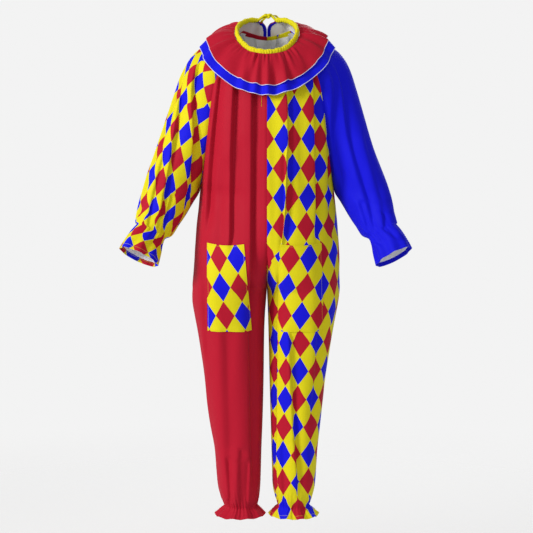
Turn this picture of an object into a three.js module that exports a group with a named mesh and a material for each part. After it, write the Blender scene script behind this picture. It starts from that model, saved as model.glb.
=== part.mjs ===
// A jester's jumpsuit with its own two-tier ruffle collar, in the form it has when it is worn.
// Millimetres, +Z up. The front faces -Y, the wearer's right side is at -X, and the origin is
// the middle of the neck opening at shoulder level, where the shoulders and neck hold it up.
import * as THREE from "three";

// Driving dimensions
const WALL = 2;
const SEAM_GAP = 0.34;
const PATCH_LIFT = 0.8;
const PANEL_COLUMNS = 10;
const SLEEVE_COLUMNS = 16;
const ANKLE_WAVES = 5;
const CUFF_WAVES = 8;
const COLLAR_WAVES = 26;
const COLUMNS_PER_COLLAR_WAVE = 4;

const RIGHT = -1;
const LEFT = 1;
const FRONT = -1;
const BACK = 1;

// Colours of the cloth; the print's is the mean of its diamonds
const CLOTH = {
  red: 0xb81e2e,
  blue: 0x1c1cdc,
  yellow: 0xe4da22,
  harlequin: 0xb08a3c,
};

// A table is a list of column names and rows of numbers, read back as one object a row.
const table = (columns, rows) =>
  rows.map((row) => Object.fromEntries(columns.map((name, i) => [name, row[i]])));

// Centre front and centre back lines, from the neckline down to underarm level.
// turn is the angle by which a section has already turned from the side towards the front.
const CENTRE_LINES = table(
  ["frontY", "frontZ", "backY", "backZ", "turn"],
  [
    [-98, -92, 80, -7, 58],
    [-112, -126, 92, -38, 58],
    [-124, -166, 103, -76, 56],
    [-132, -207, 110, -118, 53],
    [-137, -252, 114, -168, 49],
    [-139, -302, 116, -226, 43],
    [-139, -352, 117, -288, 35],
    [-139, -400, 118, -352, 25],
    [-138, -440, 119, -414, 12],
    [-138, -470, 120, -465, 0],
  ],
);

// Raglan seams, from the neckline to the underarm: the sleeve meets the front and back there.
const RAGLAN_SEAMS = table(
  ["frontX", "frontY", "frontZ", "backX", "backY", "backZ"],
  [
    [80, -62, -64, 70, 50, 10],
    [113, -82, -84, 99, 66, -22],
    [135, -91, -108, 122, 78, -57],
    [149, -93, -142, 139, 85, -94],
    [158, -91, -188, 151, 88, -142],
    [166, -86, -243, 161, 86, -202],
    [173, -76, -303, 170, 78, -268],
    [181, -58, -364, 179, 61, -336],
    [189, -34, -417, 188, 37, -402],
    [196, 0, -455, 196, 0, -455],
  ],
);

// Outer line of the sleeve over the shoulder, a row for each raglan row.
// lead is the way a section leaves the seam, from straight forward at 0 to outward at 90,
// reach is how far it holds that way, and trim is how much slimmer the left sleeve is.
const SHOULDER_LINE = table(
  ["x", "y", "z", "lead", "reach", "trim"],
  [
    [97, -8, -28, 150, 20, 0],
    [142, -6, -31, 112, 32, 0],
    [182, -4, -39, 104, 40, 0],
    [214, -6, -62, 97, 46, 0],
    [240, -11, -106, 90, 50, 1],
    [264, -17, -173, 82, 55, 3],
    [288, -25, -244, 70, 62, 6],
    [314, -35, -318, 50, 74, 9],
    [338, -45, -387, 28, 82, 8],
    [357, -54, -447, 0, 92, 6],
  ],
);

// Sleeve below the underarm: its inner and outer line, half depth, lean, ruffle wave and trim.
const SLEEVE_ROWS = table(
  ["innerX", "innerY", "innerZ", "outerX", "outerY", "outerZ", "depth", "lean", "wave", "trim"],
  [
    [215, -20, -489, 366, -64, -482, 63, 4, 0, 5],
    [237, -42, -525, 372, -78, -510, 57, 9, 0, 5],
    [257, -66, -556, 377, -92, -532, 51, 13, 0.8, 5],
    [274, -84, -580, 377, -102, -543, 45, 16, 1.6, 4],
    [292, -104, -588, 372, -112, -545, 37, 17, 1.2, 2],
    [298, -112, -605, 386, -118, -560, 40, 17, 2.5, 3],
    [303, -120, -632, 405, -127, -585, 46, 17, 4.5, 5],
    [310, -128, -662, 422, -135, -612, 50, 17, 6, 8],
  ],
);

// Body below the underarm and the legs, by height. Each leg closes round its own inner line.
const BODY_ROWS = table(
  ["z", "sideRight", "sideLeft", "front", "back", "innerRight", "innerLeft"],
  [
    [-470, 198, 200, 138, 120, 0, 0],
    [-554, 206, 207, 141, 128, 0, 0],
    [-655, 214, 213, 141, 138, 0, 0],
    [-742, 219, 214, 134, 140, 0.2, 0.2],
    [-769, 220, 212, 129, 137, 1.5, 1.5],
    [-808, 215, 206, 121, 130, 5, 3],
    [-884, 203, 193, 108, 113, 8, 5],
    [-1000, 187, 174, 92, 92, 10, 7],
    [-1116, 175, 163, 79, 88, 13, 10],
    [-1221, 157, 151, 70, 83, 17, 13],
    [-1344, 147, 143, 62, 68, 20, 17],
    [-1379, 137, 134, 56, 58, 24, 25],
    [-1399, 129, 128, 50, 52, 28, 30],
    [-1410, 139, 138, 58, 60, 17, 18],
    [-1424, 158, 157, 70, 72, 3, 3],
  ],
);

// The crotch seam leaves the centre lines, passes between the legs and ends at the inseams.
const CROTCH_Z = -742;
const CROTCH_TURN_Z = -560;
const CROTCH_CURVE = 3;
const THIGH_TOP_Z = -500;
const ELASTIC_Z = -1399;
const GATHER_TOP_Z = -1290;
const HEM_Z = -1424;
const UNDERARM_LEAN = 0.2;
const BODY_HEIGHTS = [
  -508, -552, -600, -648, -688, -714, -731, -742, -760, -785, -820, -870, -930, -1000, -1075,
  -1150, -1225, -1290, -1340, -1372, -1399,
];
const RUFFLE_HEIGHTS = [-1410, -1424];
const GATHER_DEPTH = 3.2;
const ANKLE_WAVE = 6;

// Vertical folds of the body panels: place across the panel from the side seam (0) to the
// centre (1), how deep the trough is, and the heights between which it runs.
const FRONT_FOLDS = table(
  ["at", "depth", "top", "bottom"],
  [
    [0.9, 6, -95, -420],
    [0.7, 5, -95, -360],
    [0.5, 5, -100, -300],
    [0.3, 4, -130, -420],
    [0.6, 4, -420, -760],
    [0.8, 4, -560, -1080],
    [0.4, 3.5, -860, -1290],
    [0.6, 3.5, -1080, -1330],
  ],
);
const BACK_FOLDS = table(
  ["at", "depth", "top", "bottom"],
  [
    [0.9, 5, -15, -380],
    [0.7, 5, -20, -330],
    [0.5, 4.5, -40, -420],
    [0.3, 4, -90, -360],
    [0.7, 4, -430, -780],
    [0.5, 4.5, -640, -1000],
    [0.4, 3.5, -930, -1280],
    [0.8, 3.5, -1060, -1330],
  ],
);
// Folds along the sleeve, from its front seam (0) round the outside to its back seam (1).
const SLEEVE_FOLDS = table(
  ["at", "depth", "top", "bottom"],
  [
    [0.1875, 4, -90, -470],
    [0.3125, 4.5, -180, -560],
    [0.4375, 3.5, -80, -400],
    [0.625, 4, -120, -520],
    [0.8125, 4, -100, -450],
  ],
);
const FOLD_HALF_WIDTH = 0.1;
const FOLD_FADE = 70;

// Patch pockets: how far both edges lie from the side seam round the leg, at top and bottom.
const POCKET = {
  topZ: -600,
  bottomZ: -857,
  topFrom: 93,
  topTo: 216,
  bottomFrom: 95,
  bottomTo: 238,
  rows: 13,
  columns: 8,
};

// Faces round the neck band and round a tie
const ROLL_SIDES = 8;

// Neck band: a gathered roll on elastic, open at the back between its ties.
const BAND = {
  centreY: -12,
  height: 17,
  thickness: 10,
  backGap: 26,
  steps: 44,
  lump: 0.9,
  lumps: 21,
};

// Ties: from each end of the band up to the knot, with two short tails.
const KNOT = new THREE.Vector3(3, 74, 54);
const KNOT_SIZE = new THREE.Vector3(24, 13, 15);
const TIE_RADIUS = 3.4;
const TIE_STEPS = 6;
const TIE_LEAD = 6;
const TAILS = table(
  ["azimuth", "outX", "outY", "outZ", "reach", "lift"],
  [
    [-171, -4, 86, 50, 0.62, 1],
    [156, 25, 85, 55, 0.8, 1.3],
  ],
);
const TAIL_WIDTH = 9;
const TAIL_ROOT = 0.68;
const TAIL_LANDS = 0.1;
const TAIL_TILT = 0.3;
const TAIL_ROWS = 6;

// Collar by azimuth from the front (0) to the back (180), round a centre at BAND.centreY: the
// band's ring, the crest over which a tier falls, and the free edges of both tiers.
const COLLAR = table(
  ["azimuth", "ringR", "ringZ", "crestR", "crestZ", "upperR", "upperZ", "lowerR", "lowerZ"],
  [
    [0, 84, -59, 121, -92, 139, -152, 146, -178],
    [30, 85, -52, 124, -82, 146, -136, 157, -161],
    [60, 87, -26, 130, -44, 165, -84, 183, -106],
    [90, 87, 5, 134, 10, 176, -19, 198, -39],
    [120, 86, 29, 134, 40, 174, -6, 193, -34],
    [150, 87, 41, 122, 50, 150, -20, 162, -54],
    [180, 83, 40, 110, 48, 134, -38, 143, -72],
  ],
);
// How far under the upper tier the lower one lies: in the seam at the band, and beyond it.
const TIER_SEAM = 2.4;
const TIER_DROP = 4.4;
const BAND_CLEARANCE = 2.4;
const BAND_SEAM = 0.2;
const TIER_STEPS = [0, 0.34, 0.67, 1];
const FLUTE = 4.2;
// The flutes drift round the collar and vary in size: waves round it, their size and start.
const FLUTE_DRIFT = { waves: 3, size: 0.9, start: 0.6 };
const FLUTE_LARGE = { waves: 5, size: 0.25, start: 1.1 };
const FLUTE_BROAD = { waves: 2, size: 0.15, start: 0 };
const SLIT = { top: 18, closedAt: 0.42, bottom: 0.9 };

const clamp01 = (t) => Math.min(1, Math.max(0, t));
const smooth = (t) => clamp01(t) * clamp01(t) * (3 - 2 * clamp01(t));
const radians = (degrees) => (degrees * Math.PI) / 180;
const point = (x, y, z) => new THREE.Vector3(x, y, z);

// Reads every column of a table at a place between its rows, on a smooth curve that does
// not overshoot them.
function readTable(rows, key, place) {
  const rising = rows[rows.length - 1][key] > rows[0][key] ? 1 : -1;
  let i = 0;
  while (i < rows.length - 2 && (rows[i + 1][key] - place) * rising < 0) i += 1;
  const step = rows[i + 1][key] - rows[i][key];
  const t = clamp01((place - rows[i][key]) / step);
  const slope = (name, k) => {
    if (k <= 0 || k >= rows.length - 1) return 0;
    const before = (rows[k][name] - rows[k - 1][name]) / (rows[k][key] - rows[k - 1][key]);
    const after = (rows[k + 1][name] - rows[k][name]) / (rows[k + 1][key] - rows[k][key]);
    return before * after <= 0 ? 0 : (2 * before * after) / (before + after);
  };
  const read = {};
  for (const name of Object.keys(rows[0])) {
    const a = rows[i][name];
    const b = rows[i + 1][name];
    const ta = slope(name, i) * step;
    const tb = slope(name, i + 1) * step;
    const t2 = t * t;
    const t3 = t2 * t;
    read[name] =
      (2 * t3 - 3 * t2 + 1) * a + (t3 - 2 * t2 + t) * ta + (3 * t2 - 2 * t3) * b + (t3 - t2) * tb;
  }
  return read;
}

// Section of a body panel from its side or raglan seam to the centre line, above the underarm.
const CHEST_HOLD = 0.5;
const CHEST_ACROSS = 0.6;
const TRUNK_HOLD = 0.6;
// Length of the handles that make a curve a half round, for a half round of depth 1
const HALF_ROUND_HOLD = 4 / 3;
function chestSection(side, face, k) {
  const seam = RAGLAN_SEAMS[k];
  const centre = CENTRE_LINES[k];
  const start =
    face === FRONT
      ? point(side * seam.frontX, seam.frontY, seam.frontZ)
      : point(side * seam.backX, seam.backY, seam.backZ);
  const end =
    face === FRONT
      ? point(0, centre.frontY, centre.frontZ)
      : point(0, centre.backY, centre.backZ);
  const turn = radians(centre.turn);
  const across = Math.abs(start.x);
  const deep = Math.abs(end.y - start.y);
  const hold = CHEST_HOLD * (Math.cos(turn) * deep + Math.sin(turn) * CHEST_ACROSS * across);
  const drop = end.z - start.z;
  const leave = point(-side * Math.sin(turn) * hold, face * Math.cos(turn) * hold, drop / 3);
  const arrive = point(side * TRUNK_HOLD * across, 0, -drop / 3);
  return new THREE.CubicBezierCurve3(start, start.clone().add(leave), end.clone().add(arrive), end);
}

// Section of a body panel below the underarm: a quarter of the trunk that turns into half of
// a leg as it comes down to the crotch.
function bodySection(side, face, z) {
  const row = readTable(BODY_ROWS, "z", z);
  const sideX = side === RIGHT ? row.sideRight : row.sideLeft;
  const innerX = side === RIGHT ? row.innerRight : row.innerLeft;
  const depth = face === FRONT ? row.front : row.back;
  const legShare = smooth((THIGH_TOP_Z - z) / (THIGH_TOP_Z - CROTCH_Z));
  const seamTurn = clamp01((CROTCH_TURN_Z - z) / (CROTCH_TURN_Z - CROTCH_Z));
  const seamShare = seamTurn ** CROTCH_CURVE;
  const start = point(side * sideX, 0, z);
  const legHold = HALF_ROUND_HOLD * depth;
  const startHold = THREE.MathUtils.lerp(TRUNK_HOLD * depth, legHold, legShare);
  const end = point(side * innerX, face * depth * (1 - seamShare), z);
  const trunkHandle = point(side * TRUNK_HOLD * sideX, face * depth, z);
  const legHandle = point(side * innerX, face * legHold, z);
  return new THREE.CubicBezierCurve3(
    start,
    start.clone().add(point(0, face * startHold, 0)),
    trunkHandle.lerp(legHandle, legShare),
    end,
  );
}

// Ruffle or gather wave across a body panel, a whole number of waves so that seams match.
function ankleWave(z, across) {
  const gather = smooth((GATHER_TOP_Z - z) / (GATHER_TOP_Z - ELASTIC_Z)) * GATHER_DEPTH;
  const flare = smooth((ELASTIC_Z - z) / (ELASTIC_Z - HEM_Z));
  const size = THREE.MathUtils.lerp(gather, ANKLE_WAVE, flare);
  return size * (Math.cos(2 * Math.PI * ANKLE_WAVES * across) - 1) * 0.5;
}

// Depth of the folds of a table at a place, zero at both edges of the panel.
function foldDepth(folds, across, z) {
  let depth = 0;
  for (const fold of folds) {
    const away = Math.abs(across - fold.at) / FOLD_HALF_WIDTH;
    if (away >= 1) continue;
    const fade = smooth((fold.top - z) / FOLD_FADE) * smooth((z - fold.bottom) / FOLD_FADE);
    depth += fold.depth * 0.5 * (1 + Math.cos(Math.PI * away)) * fade;
  }
  return depth;
}

// Normals of a grid from its neighbours; sense is 1 or -1 and makes them point outwards.
function gridNormals(grid, sense, closedFrom = Infinity) {
  return grid.map((row, i) =>
    row.map((p, j) => {
      const last = row.length - 1;
      const wraps = i >= closedFrom && (j === 0 || j === last);
      const before = wraps ? row[last - 1] : row[Math.max(0, j - 1)];
      const after = wraps ? row[1] : row[Math.min(last, j + 1)];
      const across = after.clone().sub(before).normalize();
      const upper = grid[Math.max(0, i - 1)][j];
      const lower = grid[Math.min(grid.length - 1, i + 1)][j];
      const down = lower.clone().sub(upper).normalize();
      return across.cross(down).multiplyScalar(sense).normalize();
    }),
  );
}

// Gives two panels one common normal along the seam where they meet.
function shareNormals(pairs) {
  for (const [a, b] of pairs) {
    const mean = a.clone().add(b).normalize();
    a.copy(mean);
    b.copy(mean);
  }
}

// Triangles of a closed cloth wall between an outer and an inner grid of points.
// Rows may hold twice as many columns as the one above. Rows from closedFrom on are rings.
function wallGeometry(outer, inner, sense, closedFrom = Infinity) {
  const positions = [];
  const triangle = (a, b, c, flip) => {
    for (const p of flip ? [a, c, b] : [a, b, c]) positions.push(p.x, p.y, p.z);
  };
  const quad = (a, b, c, d, flip) => {
    triangle(a, b, d, flip);
    triangle(b, c, d, flip);
  };
  const skin = (grid, flip) => {
    for (let i = 0; i < grid.length - 1; i += 1) {
      const upper = grid[i];
      const lower = grid[i + 1];
      const doubles = lower.length > upper.length;
      for (let j = 0; j < upper.length - 1; j += 1) {
        if (doubles) {
          triangle(upper[j], upper[j + 1], lower[2 * j + 1], flip);
          triangle(upper[j], lower[2 * j + 1], lower[2 * j], flip);
          triangle(upper[j + 1], lower[2 * j + 2], lower[2 * j + 1], flip);
        } else {
          quad(upper[j], upper[j + 1], lower[j + 1], lower[j], flip);
        }
      }
    }
  };
  const flip = sense < 0;
  skin(outer, flip);
  skin(inner, !flip);
  const ends = [
    [0, true],
    [outer.length - 1, false],
  ];
  for (const [i, top] of ends) {
    const o = outer[i];
    const n = inner[i];
    for (let j = 0; j < o.length - 1; j += 1) quad(o[j], o[j + 1], n[j + 1], n[j], flip !== top);
  }
  for (let i = 0; i < outer.length - 1 && i < closedFrom; i += 1) {
    const at = (grid, k, end) => grid[k][end ? grid[k].length - 1 : 0];
    for (const end of [false, true]) {
      const o = at(outer, i, end);
      const below = at(outer, i + 1, end);
      quad(o, below, at(inner, i + 1, end), at(inner, i, end), flip !== end);
    }
  }
  const geometry = new THREE.BufferGeometry();
  geometry.setAttribute("position", new THREE.Float32BufferAttribute(positions, 3));
  geometry.computeVertexNormals();
  return geometry;
}

// Moves the edge points of a grid into the panel by half of the seam gap, square to the seam.
function insetEdges(grid, normals, closedFrom = Infinity) {
  const shifts = [];
  grid.forEach((row, i) => {
    if (i >= closedFrom) return;
    const last = row.length - 1;
    for (const [j, inside] of [[0, 1], [last, last - 1]]) {
      const above = grid[Math.max(0, i - 1)];
      const below = grid[Math.min(grid.length - 1, i + 1)];
      const along = below[j].clone().sub(above[j]).normalize();
      const inwards = row[inside].clone().sub(row[j]).normalize();
      const square = along.cross(normals[i][j]);
      const aside = square.length() > 0.5 ? square.normalize() : inwards;
      shifts.push([row[j], aside.multiplyScalar((Math.sign(aside.dot(inwards)) * SEAM_GAP) / 2)]);
    }
  });
  for (const [p, by] of shifts) p.add(by);
}

// Keeps the centre edges of a body panel half of the seam gap off the middle plane.
function keepOffCentre(grid, side) {
  for (const row of grid) {
    const p = row[row.length - 1];
    p.x = side * Math.max(SEAM_GAP / 2, side * p.x);
  }
}

const offsetGrid = (grid, normals, by) =>
  grid.map((row, i) => row.map((p, j) => p.clone().addScaledVector(normals[i][j], by)));

// Keeps every second column of the rows above the first fine row.
const thinRows = (grid, fineFrom) =>
  grid.map((row, i) => (i < fineFrom ? row.filter((_, j) => j % 2 === 0) : row));

const costume = new THREE.Group();
function addPiece(name, geometry, colour, roughness = 0.62) {
  const material = new THREE.MeshStandardMaterial({ color: colour, roughness, metalness: 0 });
  const mesh = new THREE.Mesh(geometry, material);
  mesh.name = name;
  costume.add(mesh);
}

// Body panels: the base surface of each quarter from neckline to ankle hem
const CHEST_ROWS = RAGLAN_SEAMS.length;
const UNDERARM_ROW = CHEST_ROWS - 1;
const FINE_FROM = CHEST_ROWS + BODY_HEIGHTS.length;
const ALL_HEIGHTS = [...BODY_HEIGHTS, ...RUFFLE_HEIGHTS];
const FINE_COLUMNS = 2 * PANEL_COLUMNS;
const panelRows = (side, face) => {
  const sections = RAGLAN_SEAMS.map((_, k) => chestSection(side, face, k));
  for (const z of ALL_HEIGHTS) sections.push(bodySection(side, face, z));
  return sections.map((section) => section.getSpacedPoints(FINE_COLUMNS));
};

function makePanel(side, face) {
  const grid = panelRows(side, face);
  const sense = side * -face;
  return { side, face, sense, grid, normals: gridNormals(grid, sense) };
}

// Sleeves: open sections from seam to seam down to the underarm, then rings to the cuff hem.
// The last rows of the table, from the wrist's elastic down, hold the ruffle's waves.
const RUFFLE_ROWS = 3;
const SLEEVE_FINE_FROM = CHEST_ROWS + SLEEVE_ROWS.length - RUFFLE_ROWS;
function sleeveSections(side) {
  const rows = [];
  const half = SLEEVE_COLUMNS;
  const joinHalves = (front, back) => {
    const points = front.getSpacedPoints(half);
    rows.push([...points, ...back.getSpacedPoints(half).slice(1)]);
  };
  SHOULDER_LINE.forEach((line, k) => {
    const seam = RAGLAN_SEAMS[k];
    const trim = side === LEFT ? line.trim : 0;
    const outer = point(side * (line.x - trim), line.y, line.z);
    const front = point(side * seam.frontX, seam.frontY, seam.frontZ);
    const back = point(side * seam.backX, seam.backY, seam.backZ);
    const lead = radians(line.lead);
    const leave = (face, from) => {
      const third = (outer.z - from.z) / 3;
      return point(side * Math.sin(lead) * line.reach, face * Math.cos(lead) * line.reach, third);
    };
    const rise = (face, from) => point(0, face * line.reach, (from.z - outer.z) / 3);
    joinHalves(
      new THREE.CubicBezierCurve3(
        front,
        front.clone().add(leave(FRONT, front)),
        outer.clone().add(rise(FRONT, front)),
        outer,
      ),
      new THREE.CubicBezierCurve3(
        outer,
        outer.clone().add(rise(BACK, back)),
        back.clone().add(leave(BACK, back)),
        back,
      ),
    );
  });
  for (const row of SLEEVE_ROWS) {
    const inner = point(side * row.innerX, row.innerY, row.innerZ);
    const trim = side === LEFT ? row.trim : 0;
    const outer = point(side * (row.outerX - trim), row.outerY, row.outerZ);
    const lean = radians(row.lean);
    const hold = HALF_ROUND_HOLD * row.depth;
    const forward = point(0, -Math.cos(lean), Math.sin(lean)).multiplyScalar(hold);
    const ahead = (p) => p.clone().add(forward);
    const behind = (p) => p.clone().sub(forward);
    joinHalves(
      new THREE.CubicBezierCurve3(inner, ahead(inner), ahead(outer), outer),
      new THREE.CubicBezierCurve3(outer, behind(outer), behind(inner), inner),
    );
  }
  return rows;
}

function makeSleeve(side) {
  const grid = sleeveSections(side);
  const sense = -side;
  const normals = gridNormals(grid, sense, CHEST_ROWS);
  return { side, sense, grid, normals };
}

const panels = {};
const sleeves = {};
for (const side of [RIGHT, LEFT]) {
  panels[side] = { [FRONT]: makePanel(side, FRONT), [BACK]: makePanel(side, BACK) };
  sleeves[side] = makeSleeve(side);
}

// Seams between panels share their normals, so that both walls end on one plane.
for (const side of [RIGHT, LEFT]) {
  const front = panels[side][FRONT];
  const back = panels[side][BACK];
  const sleeve = sleeves[side];
  for (let i = 0; i < front.grid.length; i += 1) {
    if (i < UNDERARM_ROW) {
      const last = sleeve.normals[i].length - 1;
      shareNormals([
        [front.normals[i][0], sleeve.normals[i][0]],
        [back.normals[i][0], sleeve.normals[i][last]],
      ]);
    } else {
      shareNormals([[front.normals[i][0], back.normals[i][0]]]);
    }
    const inseam = i >= CHEST_ROWS && ALL_HEIGHTS[i - CHEST_ROWS] <= CROTCH_Z;
    if (inseam) {
      shareNormals([[front.normals[i][FINE_COLUMNS], back.normals[i][FINE_COLUMNS]]]);
    } else {
      for (const panel of [front, back]) {
        const n = panel.normals[i][FINE_COLUMNS];
        n.x = side * Math.min(0, side * n.x);
        n.normalize();
      }
    }
  }
  const under = point(side * UNDERARM_LEAN, 0, -1).normalize();
  front.normals[UNDERARM_ROW][0].copy(under);
  back.normals[UNDERARM_ROW][0].copy(under);
  const last = sleeve.normals[UNDERARM_ROW].length - 1;
  sleeve.normals[UNDERARM_ROW][0].copy(under);
  sleeve.normals[UNDERARM_ROW][last].copy(under);
}

// One body panel with its folds, gathers and ankle ruffle
function finishPanel({ side, sense, grid, normals }, folds) {
  const outer = grid.map((row, i) =>
    row.map((p, j) => {
      const across = j / FINE_COLUMNS;
      const out = i < CHEST_ROWS ? 0 : ankleWave(p.z, across);
      const by = out - foldDepth(folds, across, p.z);
      return p.clone().addScaledVector(normals[i][j], by);
    }),
  );
  insetEdges(outer, normals);
  keepOffCentre(outer, side);
  const inner = offsetGrid(outer, normals, -WALL);
  return wallGeometry(thinRows(outer, FINE_FROM), thinRows(inner, FINE_FROM), sense);
}
addPiece("front_right", finishPanel(panels[RIGHT][FRONT], FRONT_FOLDS), CLOTH.red);
addPiece("back_right", finishPanel(panels[RIGHT][BACK], BACK_FOLDS), CLOTH.red);
addPiece("front_left", finishPanel(panels[LEFT][FRONT], FRONT_FOLDS), CLOTH.harlequin);
addPiece("back_left", finishPanel(panels[LEFT][BACK], BACK_FOLDS), CLOTH.harlequin);

function finishSleeve({ side, sense, grid, normals }) {
  const outer = grid.map((row, i) =>
    row.map((p, j) => {
      const across = j / (row.length - 1);
      const wave = i < CHEST_ROWS ? 0 : SLEEVE_ROWS[i - CHEST_ROWS].wave;
      const out = wave * (Math.cos(2 * Math.PI * CUFF_WAVES * across) - 1) * 0.5;
      return p.clone().addScaledVector(normals[i][j], out - foldDepth(SLEEVE_FOLDS, across, p.z));
    }),
  );
  insetEdges(outer, normals, UNDERARM_ROW);
  outer[UNDERARM_ROW][0].add(point(side * SEAM_GAP, 0, -SEAM_GAP));
  outer[UNDERARM_ROW][2 * SLEEVE_COLUMNS].copy(outer[UNDERARM_ROW][0]);
  for (const row of outer.slice(CHEST_ROWS)) row[row.length - 1].copy(row[0]);
  for (const row of normals.slice(CHEST_ROWS)) row[row.length - 1].copy(row[0]);
  const inner = offsetGrid(outer, normals, -WALL);
  return wallGeometry(
    thinRows(outer, SLEEVE_FINE_FROM),
    thinRows(inner, SLEEVE_FINE_FROM),
    sense,
    UNDERARM_ROW,
  );
}
addPiece("sleeve_right", finishSleeve(sleeves[RIGHT]), CLOTH.harlequin);
addPiece("sleeve_left", finishSleeve(sleeves[LEFT]), CLOTH.blue);

// Patch pockets, made from the points of the front panel's sections and moved out
function pocketGeometry(side) {
  const { sense } = panels[side][FRONT];
  const grid = [];
  for (let i = 0; i <= POCKET.rows; i += 1) {
    const t = i / POCKET.rows;
    const section = bodySection(side, FRONT, THREE.MathUtils.lerp(POCKET.topZ, POCKET.bottomZ, t));
    const from = THREE.MathUtils.lerp(POCKET.topFrom, POCKET.bottomFrom, t);
    const to = THREE.MathUtils.lerp(POCKET.topTo, POCKET.bottomTo, t);
    const row = [];
    for (let j = 0; j <= POCKET.columns; j += 1) {
      const distance = THREE.MathUtils.lerp(from, to, j / POCKET.columns);
      row.push(section.getPointAt(distance / section.getLength()));
    }
    grid.push(row);
  }
  const normals = gridNormals(grid, sense);
  const inner = offsetGrid(grid, normals, PATCH_LIFT);
  const outer = offsetGrid(grid, normals, PATCH_LIFT + WALL);
  return wallGeometry(outer, inner, sense);
}
addPiece("pocket_right", pocketGeometry(RIGHT), CLOTH.harlequin);
addPiece("pocket_left", pocketGeometry(LEFT), CLOTH.harlequin);

// Collar: the table's row at an azimuth in radians, and the band's ring there
function collarAt(azimuth) {
  return readTable(COLLAR, "azimuth", Math.abs(THREE.MathUtils.radToDeg(azimuth)));
}
function bandPoint(azimuth) {
  const { ringR, ringZ } = collarAt(azimuth);
  return point(ringR * Math.sin(azimuth), BAND.centreY - ringR * Math.cos(azimuth), ringZ);
}
const TANGENT_STEP = 0.01;
function bandTangent(azimuth) {
  return bandPoint(azimuth + TANGENT_STEP).sub(bandPoint(azimuth - TANGENT_STEP)).normalize();
}
const waver = ({ waves, size, start }, azimuth) => size * Math.sin(waves * azimuth + start);
const flutePhase = (azimuth) => COLLAR_WAVES * azimuth + waver(FLUTE_DRIFT, azimuth);
const fluteSize = (azimuth) => 1 + waver(FLUTE_LARGE, azimuth) + waver(FLUTE_BROAD, azimuth);

// A point of the collar's fall: azimuth in radians, along from the band (0) to the upper
// tier's edge (1) and the lower tier's edge (2), and how far under the upper tier it lies.
function fallPoint(azimuth, along, under) {
  const row = collarAt(azimuth);
  const startR = row.ringR + BAND.thickness / 2 + BAND_CLEARANCE;
  const startZ = row.ringZ - BAND.height * BAND_SEAM;
  const t = Math.min(1, along);
  const bend = (a, b, c) => (1 - t) * (1 - t) * a + 2 * t * (1 - t) * b + t * t * c;
  const slope = (a, b, c) => 2 * (1 - t) * (b - a) + 2 * t * (c - b);
  let r = bend(startR, row.crestR, row.upperR);
  let z = bend(startZ, row.crestZ, row.upperZ);
  let outR = slope(startR, row.crestR, row.upperR);
  let outZ = slope(startZ, row.crestZ, row.upperZ);
  if (along > 1) {
    r += (row.lowerR - row.upperR) * (along - 1);
    z += (row.lowerZ - row.upperZ) * (along - 1);
    outR = row.lowerR - row.upperR;
    outZ = row.lowerZ - row.upperZ;
  }
  const size = Math.hypot(outR, outZ);
  const normalR = -outZ / size;
  const normalZ = outR / size;
  const swell = smooth(along) * FLUTE * fluteSize(azimuth) * Math.sin(flutePhase(azimuth));
  const by = swell - under;
  r += normalR * by;
  z += normalZ * by;
  const place = point(r * Math.sin(azimuth), BAND.centreY - r * Math.cos(azimuth), z);
  const normal = point(normalR * Math.sin(azimuth), -normalR * Math.cos(azimuth), normalZ);
  return { place, normal };
}

// One tier of the collar: it starts at the band and is slit at the back.
function tierGeometry(steps, underAt) {
  const outer = [];
  const inner = [];
  const columns = COLLAR_WAVES * COLUMNS_PER_COLLAR_WAVE;
  for (const along of steps) {
    const gap = THREE.MathUtils.lerp(SLIT.top, SLIT.bottom, smooth(along / SLIT.closedAt));
    const back = collarAt(Math.PI);
    const near = THREE.MathUtils.lerp(back.ringR, back.upperR, Math.min(1, along));
    const limit = Math.PI - Math.asin(gap / near);
    const outerRow = [];
    const innerRow = [];
    for (let j = 0; j <= columns; j += 1) {
      const { place, normal } = fallPoint(limit * ((2 * j) / columns - 1), along, underAt(along));
      outerRow.push(place);
      innerRow.push(place.clone().addScaledVector(normal, -WALL));
    }
    outer.push(outerRow);
    inner.push(innerRow);
  }
  return wallGeometry(outer, inner, -1);
}
const lowerDrop = (along) =>
  THREE.MathUtils.lerp(TIER_SEAM, TIER_DROP, smooth(along / TIER_STEPS[1]));
addPiece("collar_upper", tierGeometry(TIER_STEPS, () => 0), CLOTH.red);
addPiece("collar_lower", tierGeometry([...TIER_STEPS, 2], lowerDrop), CLOTH.blue);

// A closed solid through rings of points, with a fan over each end
function loftGeometry(rings) {
  const positions = [];
  const add = (...points) => {
    for (const p of points) positions.push(p.x, p.y, p.z);
  };
  for (let i = 0; i < rings.length - 1; i += 1) {
    const count = rings[i].length;
    for (let j = 0; j < count; j += 1) {
      const k = (j + 1) % count;
      add(rings[i][j], rings[i][k], rings[i + 1][j]);
      add(rings[i][k], rings[i + 1][k], rings[i + 1][j]);
    }
  }
  const cap = (ring, reverse) => {
    const middle = ring.reduce((sum, p) => sum.add(p), point(0, 0, 0)).divideScalar(ring.length);
    ring.forEach((p, j) => {
      const next = ring[(j + 1) % ring.length];
      if (reverse) add(middle, next, p);
      else add(middle, p, next);
    });
  };
  cap(rings[0], true);
  cap(rings[rings.length - 1], false);
  const geometry = new THREE.BufferGeometry();
  geometry.setAttribute("position", new THREE.Float32BufferAttribute(positions, 3));
  geometry.computeVertexNormals();
  return geometry;
}

// An oval ring of points round a place on a path, wide along one axis and high along another
function ovalRing(centre, wideAxis, highAxis, wide, high, sides) {
  const ring = [];
  for (let j = 0; j < sides; j += 1) {
    const angle = (2 * Math.PI * j) / sides;
    ring.push(
      centre
        .clone()
        .addScaledVector(wideAxis, Math.cos(angle) * wide)
        .addScaledVector(highAxis, Math.sin(angle) * high),
    );
  }
  return ring;
}

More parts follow.
